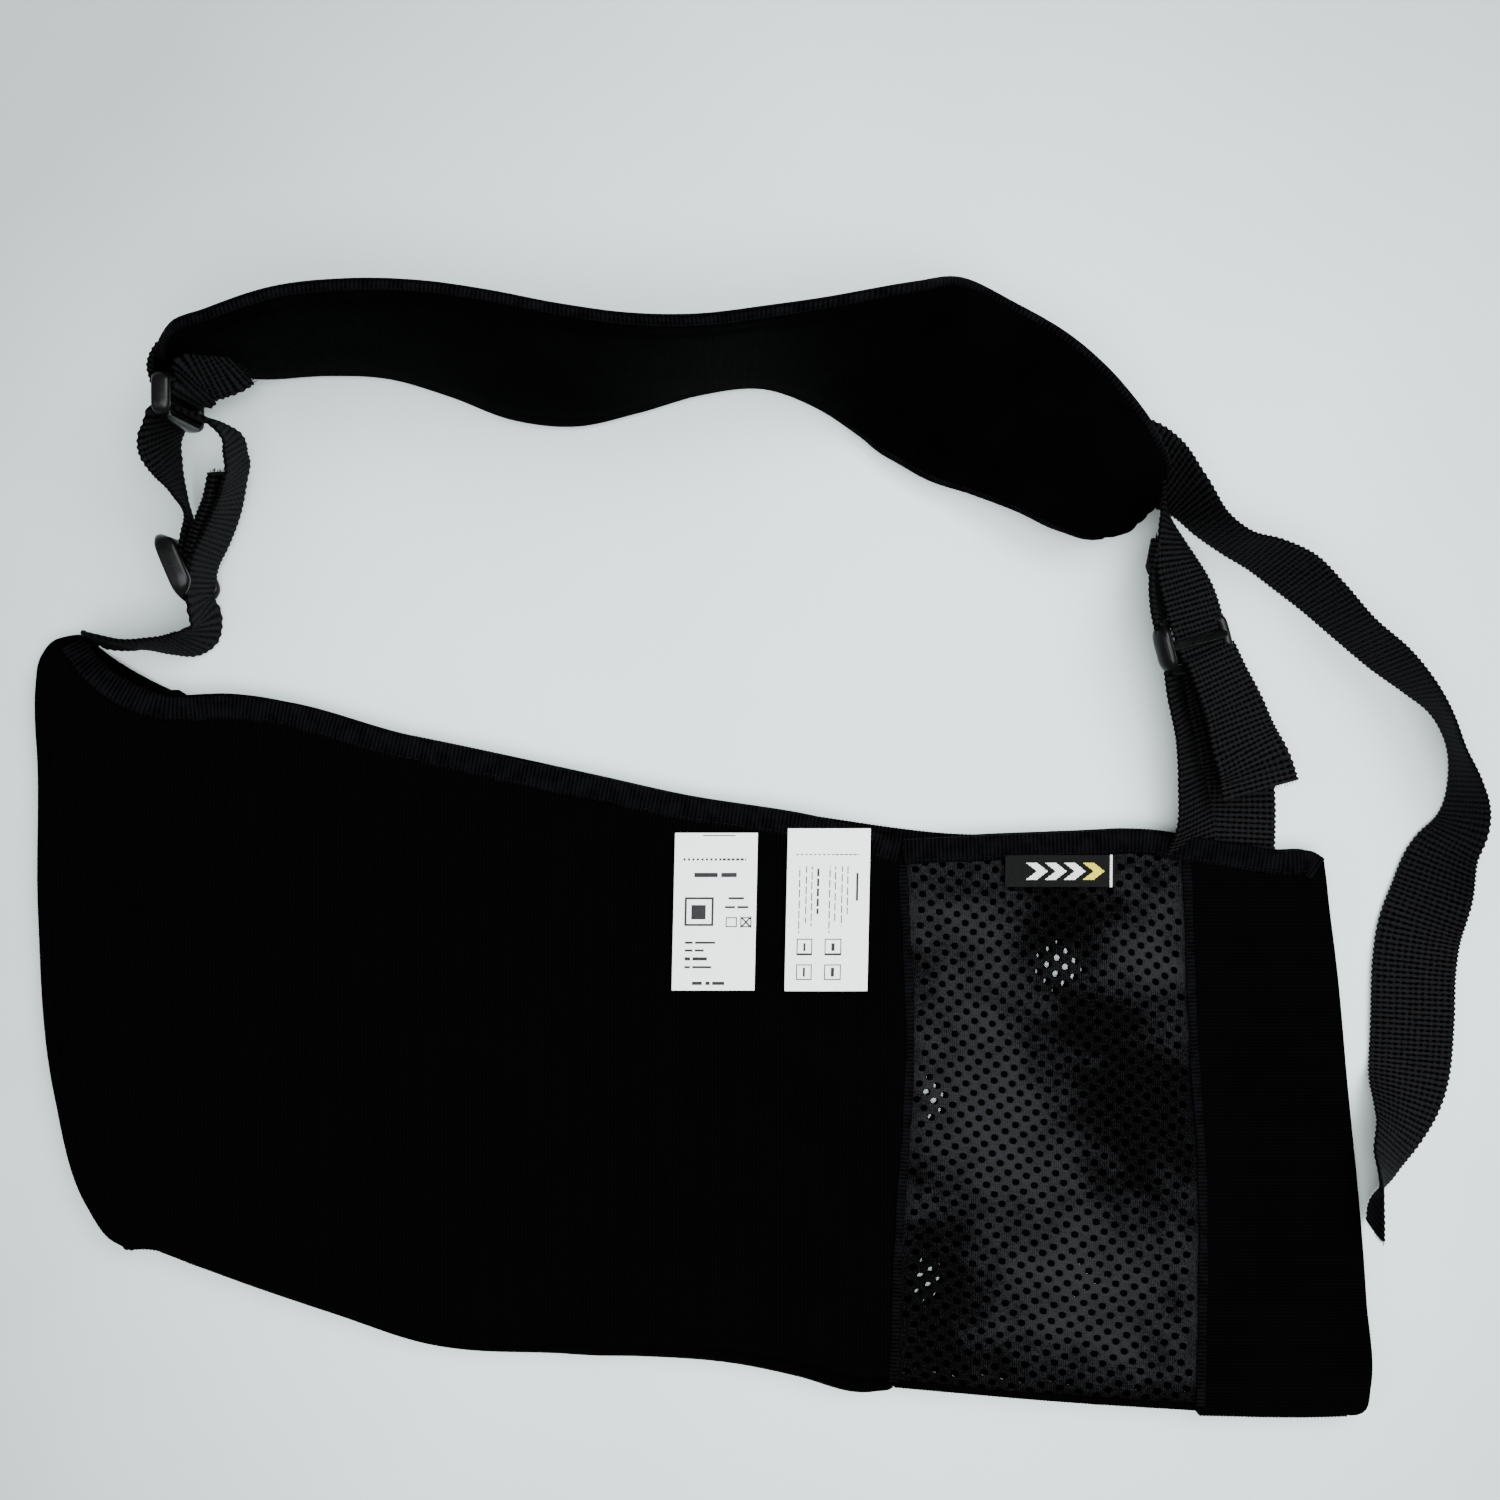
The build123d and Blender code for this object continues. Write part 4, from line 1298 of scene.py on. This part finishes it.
def moulded(name, origin, x_way, z_way, outline_x, outline_z, corner, halves, bars_at, bow, node, body):
    """A rectangular moulding with cross bars.

    x_way is the long way, z_way the short way and out = z_way x x_way. halves gives the half sizes, in
    plane and out of plane, at a share 0 (rail) to 1 (bar). bow moves the outer bars and the cross bars
    out of plane, and bars_at lists the cross bars.
    """
    origin = np.array(origin, float)
    x_way = unit(np.array(x_way, float))
    z_way = unit(np.array(z_way, float))
    out = np.cross(z_way, x_way)
    points = []
    faces = []
    cloth = []
    sides = 16

    def tube(stations, closed):
        """stations: (x, z, out, heading x, heading z, half in plane, half out of plane)."""
        first = len(points)
        for n, (px, pz, po, hx, hz, a, b) in enumerate(stations):
            size = sqrt(hx * hx + hz * hz)
            side = (-hz / size) * x_way + (hx / size) * z_way
            middle = origin + x_way * px + z_way * pz + out * po
            for k in range(sides):
                turn = 2 * pi * k / sides
                c, s = cos(turn), sin(turn)
                da = a * signed_power(c, 0.72)
                db = b * signed_power(s, 0.72)
                points.append(middle + side * da + out * db)
                cloth.append((px + da, pz + db, n * 0.3))
        rows = len(stations)
        skin = tube_faces(first, rows, sides)
        if not closed:
            faces.extend(skin)
            return
        faces.extend(skin[:-2])
        last = first + (rows - 1) * sides
        for k in range(sides):
            m = (k + 1) % sides
            faces.append((last + k, last + m, first + m, first + k))

    def bar_share(px):
        """From 0 at a rail to 1 along the bars."""
        share = float(np.clip((hx - abs(px)) / RAIL_FADE, 0, 1))
        return share * share * (3 - 2 * share)

    stations = []
    count = 96
    hx = outline_x / 2 - halves(0)[0]
    hz = outline_z / 2 - halves(1)[0]
    for n in range(count):
        turn = 2 * pi * n / count
        c, s = cos(turn), sin(turn)
        stations.append([hx * signed_power(c, 2 / corner), hz * signed_power(s, 2 / corner)])
    loop = np.array(stations)
    heading = np.roll(loop, -1, axis=0) - np.roll(loop, 1, axis=0)
    spec = []
    for (px, pz), (dx, dz) in zip(loop, heading):
        share = bar_share(px)
        a, b = halves(share)
        spec.append((px, pz, bow[0] * share, dx, dz, a, b))
    tube(spec, True)
    for z_at in bars_at:
        spec = []
        for n in range(25):
            px = -hx + 2 * hx * n / 24
            share = bar_share(px)
            a, b = halves(share)
            spec.append((px, z_at, bow[1] * share, 1.0, 0.0, min(a, 1.5), b))
        tube(spec, False)
    obj = make(name, points, faces, PLASTIC, cloth)
    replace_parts(obj, node)
    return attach(obj, body)


def glide_halves(share):
    """Half sizes of a tri-glide's section, from its rail to its bars."""
    return 1.6, RAIL_HALF + (0.9 - RAIL_HALF) * share


def strip_ways(run, lean):
    """The ways along and across a straight strip."""
    heading = np.array([run[0], run[1], 0]) / sqrt(run[0] ** 2 + run[1] ** 2)
    side = np.cross([0, 0, 1], heading)
    across = side * cos(radians(lean)) + np.cross(heading, side) * sin(radians(lean))
    return heading, across


def build_plastic():
    for side, centre, run, lean, short in (
        ("left", LEFT_GLIDE, LEFT_RUN, 90, LEFT_GLIDE_SHORT),
        ("right", RIGHT_GLIDE, RIGHT_RUN, RIGHT_LEAN, GLIDE_SHORT),
    ):
        heading, across = strip_ways(run, lean)
        moulded(
            f"{side}_glide_moulding", centre, across, heading, GLIDE_LONG, short, 4.5,
            glide_halves, (0.0,), (-1.9, 1.9), f"{side}_tri_glide", f"{side}_glide",
        )
    moulded(
        "pad_ring_moulding", RING, (0, 0, 1), (0, 1, 0), RING_LONG, RING_SHORT, 6.0,
        lambda share: (1.5, 2.8 - 0.9 * share), (), (0.0, 0.0), "left_pad_ring", "pad_ring",
    )
    across = np.array([*PAD_SLIDER_ACROSS, 0])
    moulded(
        "pad_slider_moulding", PAD_SLIDER, across, np.cross([0, 0, 1], across), 34.0, 19.0, 6.0,
        lambda share: (1.5, 1.3), (0.0,), (0.0, 0.0), "right_pad_slider", "pad_slider",
    )


# ---------------------------------------------------------------- straps


def arc_band(name, centre, inner, start, end, axis, flat_way, wall=WEB_WALL, tails=(0.0, 0.0)):
    """Webbing round a bar: an arc about the bar's axis, with straight tails, as a strip of stations."""
    axis = unit(np.array(axis, float))
    u = unit(np.array(flat_way, float))
    v = np.cross(axis, u)
    radius = inner + wall / 2
    centre = np.array(centre, float)
    path = []
    steps = max(int(abs(end - start) / 8), 6)
    for n in range(steps + 1):
        turn = radians(start + (end - start) * n / steps)
        path.append(centre + u * radius * cos(turn) + v * radius * sin(turn))
    first = unit(path[0] - path[1])
    last = unit(path[-1] - path[-2])
    if tails[0]:
        path.insert(0, path[0] + first * tails[0])
    if tails[1]:
        path.append(path[-1] + last * tails[1])
    path = smooth([tuple(p) for p in path], RIB_PITCH / 4)
    headings = unit(np.gradient(path, axis=0))
    distance = along(path)
    places = np.linspace(-1, 1, WARPS * 2 + 1)
    points = []
    cloth = []
    for i, s in enumerate(distance):
        out = np.cross(headings[i], axis)
        turn = 2 * pi * s / RIB_PITCH
        rib = 0.1 * (0.5 + 0.5 * cos(turn)) - 0.05
        thin = wall / 2 * (1 - 0.4 * np.abs(places) ** 10) + rib
        half = WEB / 2 + 0.2 * cos(turn)
        points.append(path[i] + np.outer(places * half, axis) + np.outer(thin, out))
        points.append(path[i] + np.outer(places[::-1] * half, axis) - np.outer(thin[::-1], out))
        cloth += web_cloth(places, s)
    faces = closed_faces(len(distance), 2 * len(places))
    obj = make(name, np.vstack(points), faces, WEBBING, np.vstack(cloth))
    return obj


def build_left_strap():
    glide, ring = LEFT_BODY_SPLITS
    lower = webbing("left_strap_webbing", LEFT_LOWER[: glide + 1], pinch=0.4)
    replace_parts(lower, "left_strap_lower", "left_anchor_sewn_end")
    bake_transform(lower)
    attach(yarn_ends("left_anchor_yarn_ends", LEFT_LOWER, False, 2.4, width=10.0, count=12), "pouch")
    outer = webbing("left_loop_webbing", LEFT_LOWER[glide : ring + 3])
    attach(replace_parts(outer, "left_loop_outer"), "neck_strap")
    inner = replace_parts(webbing("left_loop_end_webbing", LEFT_LOWER[ring + 2 :]), "left_loop_inner")
    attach(inner, "neck_strap")
    near_bar = np.array([RING[0], RING[1] - (RING_SHORT - RING_BAR) / 2, RING[2]])
    lining = arc_band("left_ring_wrap_webbing", near_bar, 1.7, -80, 80, (0, 0, 1), (0, 1, 0), wall=1.0)
    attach(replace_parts(lining, "left_ring_wrap"), "pad_ring")
    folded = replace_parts(webbing("left_folded_webbing", LEFT_FOLDED, 2.8), "left_loop_folded_end")
    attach(folded, "neck_strap")
    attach(yarn_ends("left_folded_yarn_ends", LEFT_FOLDED, False, 2.6), "neck_strap")
    heading, across = strip_ways(LEFT_RUN, 90)
    out = np.cross(heading, across)
    bar = np.array(LEFT_GLIDE) + out * 2.0
    wrap = arc_band("left_glide_wrap_webbing", bar, 1.5, -100, 100, across, out, tails=(3.0, 3.0))
    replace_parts(wrap, "left_glide_wrap")
    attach(wrap, "left_glide")


def build_right_strap():
    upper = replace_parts(webbing("right_strap_webbing", RIGHT_UPPER), "right_strap_upper")
    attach(upper, "neck_strap")
    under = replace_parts(webbing("right_under_webbing", RIGHT_UNDER), "right_strap_under_layer")
    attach(under, "neck_strap")
    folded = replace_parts(webbing("right_folded_webbing", RIGHT_FOLDED, 3.2), "right_strap_folded_end")
    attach(folded, "neck_strap")
    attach(yarn_ends("right_folded_yarn_ends", RIGHT_FOLDED, False, 3.4, count=18), "neck_strap")
    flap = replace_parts(webbing("flap_webbing", TAIL_FLAP, 1.9, crown=-0.8), "strap_tail_flap")
    flap_ends = yarn_ends("flap_yarn_ends", TAIL_FLAP, True, 1.8)
    hem = stitch_rows("flap_hem_stitches", TAIL_FLAP, (0.86, 0.9), 1.15)
    for piece in (flap, flap_ends, hem):
        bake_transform(piece)
    flat = webbing("flat_leg_webbing", RIGHT_FLAT_LEG)
    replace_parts(flat, "right_anchor_flat_leg", "right_anchor_sewn_end")
    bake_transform(flat)
    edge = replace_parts(webbing("edge_leg_webbing", RIGHT_EDGE_LEG), "right_anchor_edge_leg")
    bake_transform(edge)
    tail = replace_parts(webbing("free_tail_webbing", FREE_TAIL), "free_tail", "free_tail_root")
    tail_ends = yarn_ends("free_tail_yarn_ends", FREE_TAIL, True, 2.6)
    for piece in (tail, tail_ends):
        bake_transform(piece)


def stitch_rows(name, stations, shares, lift):
    """Rows of stitches across a strip, at those shares of its length."""
    line = smooth(stations, 0.5)
    _, across, out = frames(line)
    rows = []
    for share in shares:
        i = int(share * (len(line) - 1))
        ends = [line[i, :3] + across[i] * WEB / 2 * k * 0.88 for k in (-1, 1)]
        rows.append((ends, out[i]))
    joints = 5
    sides = 6
    points = []
    faces = []
    cloth = []
    for (a, b), out_way in rows:
        way = unit(b - a)
        beside = np.cross(out_way, way)
        length = np.linalg.norm(b - a)
        for start in np.arange(0.6, length - 1.6, 2.3):
            first = len(points)
            for j in range(joints):
                t = j / (joints - 1)
                middle = a + way * (start + 1.6 * t) + out_way * (lift + 0.18 * sin(pi * t))
                radius = 0.17 * (0.5 + 0.5 * sin(pi * t))
                for m in range(sides):
                    turn = 2 * pi * m / sides
                    points.append(middle + out_way * radius * cos(turn) + beside * radius * sin(turn))
                    cloth.append((0.2 * m, start + t, 0))
            faces += tube_faces(first, joints, sides)
    return make(name, points, faces, THREAD, cloth)


# ---------------------------------------------------------------- the pad


def pad_stations():
    """The pad's middle, the way across its width, and its width, smoothly along it."""
    rows = []
    for x0, y0, x1, y1, width, lift in PAD:
        run = sqrt((x1 - x0) ** 2 + (y1 - y0) ** 2)
        rise = sqrt(max(width**2 - run**2, 0))
        flatness = min(run / width, 1)
        z = PAD_STAND + lift + PAD_WALL / 2 * flatness
        rows.append(((x0 + x1) / 2, (y0 + y1) / 2, z + rise / 2, (x1 - x0), (y1 - y0), rise, width))
    return smooth(rows, 2.0)


def build_pad():
    rows = pad_stations()
    middles = rows[:, :3]
    across = unit(rows[:, 3:6])
    widths = rows[:, 6]
    headings = np.gradient(middles, axis=0)
    headings = unit(headings - across * np.sum(headings * across, axis=1, keepdims=True))
    out = np.cross(headings, across)
    distance = along(middles)
    half_count = 40
    places = np.sin(np.linspace(-pi / 2, pi / 2, half_count))
    points = []
    cloth = []
    for i, s in enumerate(distance):
        edge = np.abs(places)
        crown = (PAD_WALL / 2 + 0.5) * np.clip(1 - edge**5, 0, 1) ** 0.5
        end_fade = min(1.0, s / 9, (distance[-1] - s) / 9)
        thick = np.maximum(crown * (0.55 + 0.45 * sqrt(max(end_fade, 0))), 0.5)
        wrinkle = np.array([
            0.35 * noise.noise(Vector((s / 26, p * widths[i] / 30, 3.3)))
            + 0.12 * noise.noise(Vector((s / 8, p * widths[i] / 22, 8.3)))
            for p in places
        ]) * (1 - edge**4)
        seam = 0.55 * np.exp(-(((edge * widths[i] / 2 - (widths[i] / 2 - 5.5)) / 0.8) ** 2))
        face = thick + wrinkle - seam
        rear = -(thick - wrinkle - seam)
        half = widths[i] / 2 - 0.2
        points.append(middles[i] + np.outer(places * half, across[i]) + np.outer(face, out[i]))
        points.append(middles[i] + np.outer(places[::-1] * half, across[i]) + np.outer(rear[::-1], out[i]))
        face_cloth = np.column_stack([places * half, np.full(half_count, s), np.zeros(half_count)])
        cloth += [face_cloth, face_cloth[::-1] + (PAD_BACK_SHIFT, 0, 0)]
    faces = closed_faces(len(distance), 2 * half_count)
    pad = make("shoulder_pad_cloth", np.vstack(points), faces, PAD_CLOTH, np.vstack(cloth))
    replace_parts(pad, "pad_foam_core", "pad_face_cover", "pad_back_cover")
    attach(pad, "neck_strap")
    for tag, side in (("raised", 1), ("standing", -1)):
        pad_edge(f"pad_edge_{tag}", side, f"pad_binding_{tag}", middles, across, widths, out, distance)


def pad_edge(name, side, node, middles, across, widths, out, distance):
    """The narrow bound edge along one long side of the pad."""
    points = []
    cloth = []
    count = 16
    inside = [i for i, s in enumerate(distance) if 3 < s < distance[-1] - 4]
    for i in inside:
        for k in range(count):
            turn = 2 * pi * k / count
            a = widths[i] / 2 - 1.0 + 1.5 * cos(turn)
            b = 1.75 * sin(turn)
            points.append(middles[i] + across[i] * a * side + out[i] * b)
            cloth.append((k * 0.6, distance[i], 0))
    faces = closed_faces(len(inside), count)
    if side < 0:
        faces = [face[::-1] for face in faces]
    edge = make(name, points, faces, TAPE, cloth)
    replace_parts(edge, node)
    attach(edge, "neck_strap")


def build_pad_ends():
    """The webbing loops that tie the pad to its ring and to its slider."""
    front = [
        (-179.8, 141.4, 29.5, 90),
        (-178.4, 138.6, 29.5, 90),
        (-174.6, 138.0, 29.5, 90),
        (-171.8, 140.4, 29.5, 84),
        (-171.0, 144.6, 28.5, 74),
        (-167.4, 147.2, 27.5, 66),
        (-163.4, 149.0, 27.0, 64),
        (-160.0, 150.6, 27.2, 67),
    ]
    front_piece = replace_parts(webbing("pad_left_loop_webbing", front), "pad_left_end_loop")
    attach(front_piece, "neck_strap")
    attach(yarn_ends("pad_left_yarn_ends", front, True, 2.8), "neck_strap")
    rear = [
        (-179.8, 141.4, 29.5, 90),
        (-180.8, 146, 29.5, 90),
        (-178.6, 151.8, 29.5, 90),
        (-172, 156.6, 29.3, 90),
        (-160, 158.6, 29, 90),
    ]
    rear_piece = webbing("pad_left_rear_webbing", rear)
    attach(rear_piece, "neck_strap")
    centre = np.array(PAD_SLIDER)
    across = unit(np.array([*PAD_SLIDER_ACROSS, 0.0]))
    out = np.cross([0, 0, 1], across)
    inner_bar = centre - out * PAD_SLIDER_BARS
    outer_bar = centre + out * PAD_SLIDER_BARS
    end_loop = arc_band("pad_right_loop_webbing", inner_bar, 1.9, -90, 90, -across, out, tails=(12.0, 12.0))
    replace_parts(end_loop, "pad_right_end_loop")
    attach(end_loop, "neck_strap")
    wrap = arc_band("slider_wrap_webbing", outer_bar, 1.9, 60, 300, -across, out)
    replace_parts(wrap, "right_slider_wrap")
    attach(wrap, "pad_slider")


# ---------------------------------------------------------------- stage


def build_stage():
    """A pale table whose colour is painted lighter towards the middle, the right and the bottom as painted
    light fall-off, soft light from above and a camera straight over the sling.
    """
    floor_shader = Shader("table_laminate", 0.5, specular=0.3)
    floor_shader.bump(floor_shader.grain(1.2, 3), 0.01)
    # Slow random blotches, then painted light fall-off: the colour bows down away from the middle and slopes
    # lighter towards the right and the bottom.
    tone = floor_shader.math("MULTIPLY", floor_shader.grain(160, 3), 0.25)
    for letter, tilt, bow in (("X", 0.3, -4.2), ("Y", -0.2, -3.4)):
        place = floor_shader.axis(letter)
        steep = floor_shader.math("ADD", floor_shader.math("MULTIPLY", place, bow), tilt)
        tone = floor_shader.math("ADD", tone, floor_shader.math("MULTIPLY", place, steep))
    floor_shader.colour(floor_shader.math("ADD", tone, 0.64), (0.38, 0.42, 0.42), (0.7, 0.79, 0.765))
    size = 4000
    corners = [(-size, -size, -0.05), (size, -size, -0.05), (size, size, -0.05), (-size, size, -0.05)]
    floor = make("table_top", corners, [(0, 1, 2, 3)], floor_shader.material, corners)

    world = bpy.data.worlds.new("studio")
    world.use_nodes = True
    world.node_tree.nodes["Background"].inputs["Color"].default_value = (0.92, 0.96, 1.0, 1)
    world.node_tree.nodes["Background"].inputs["Strength"].default_value = 0.36
    bpy.context.scene.world = world
    for name, place, aim, power, size_x, size_y in (
        ("window", (0.6, 0.55, 1.0), (0.05, 0, 0), 20, 0.9, 0.6),
        ("ceiling", (0.08, -0.15, 1.0), (0.05, -0.05, 0), 22, 0.8, 0.8),
        ("room", (-1.0, -0.3, 1.0), (0, 0, 0), 4, 0.8, 0.8),
    ):
        light = bpy.data.lights.new(name, "AREA")
        light.shape = "RECTANGLE"
        light.size = size_x
        light.size_y = size_y
        light.energy = power
        light.color = (0.96, 0.98, 1.0)
        lamp = bpy.data.objects.new(name, light)
        lamp.location = place
        lamp.rotation_euler = (Vector(aim) - Vector(place)).to_track_quat("-Z", "Y").to_euler()
        bpy.context.scene.collection.objects.link(lamp)

    camera = bpy.data.cameras.new("overhead")
    camera.sensor_fit = "HORIZONTAL"
    camera.angle = 2 * atan(VIEW_HALF / EYE[2])
    viewer = bpy.data.objects.new("overhead", camera)
    viewer.location = [length * MM for length in EYE]
    bpy.context.scene.collection.objects.link(viewer)
    bpy.context.scene.camera = viewer


build_pouch()
seam_tapes("front")
seam_tapes("back")
build_labels()
build_left_strap()
build_plastic()
build_right_strap()
build_pad()
build_pad_ends()
build_stage()
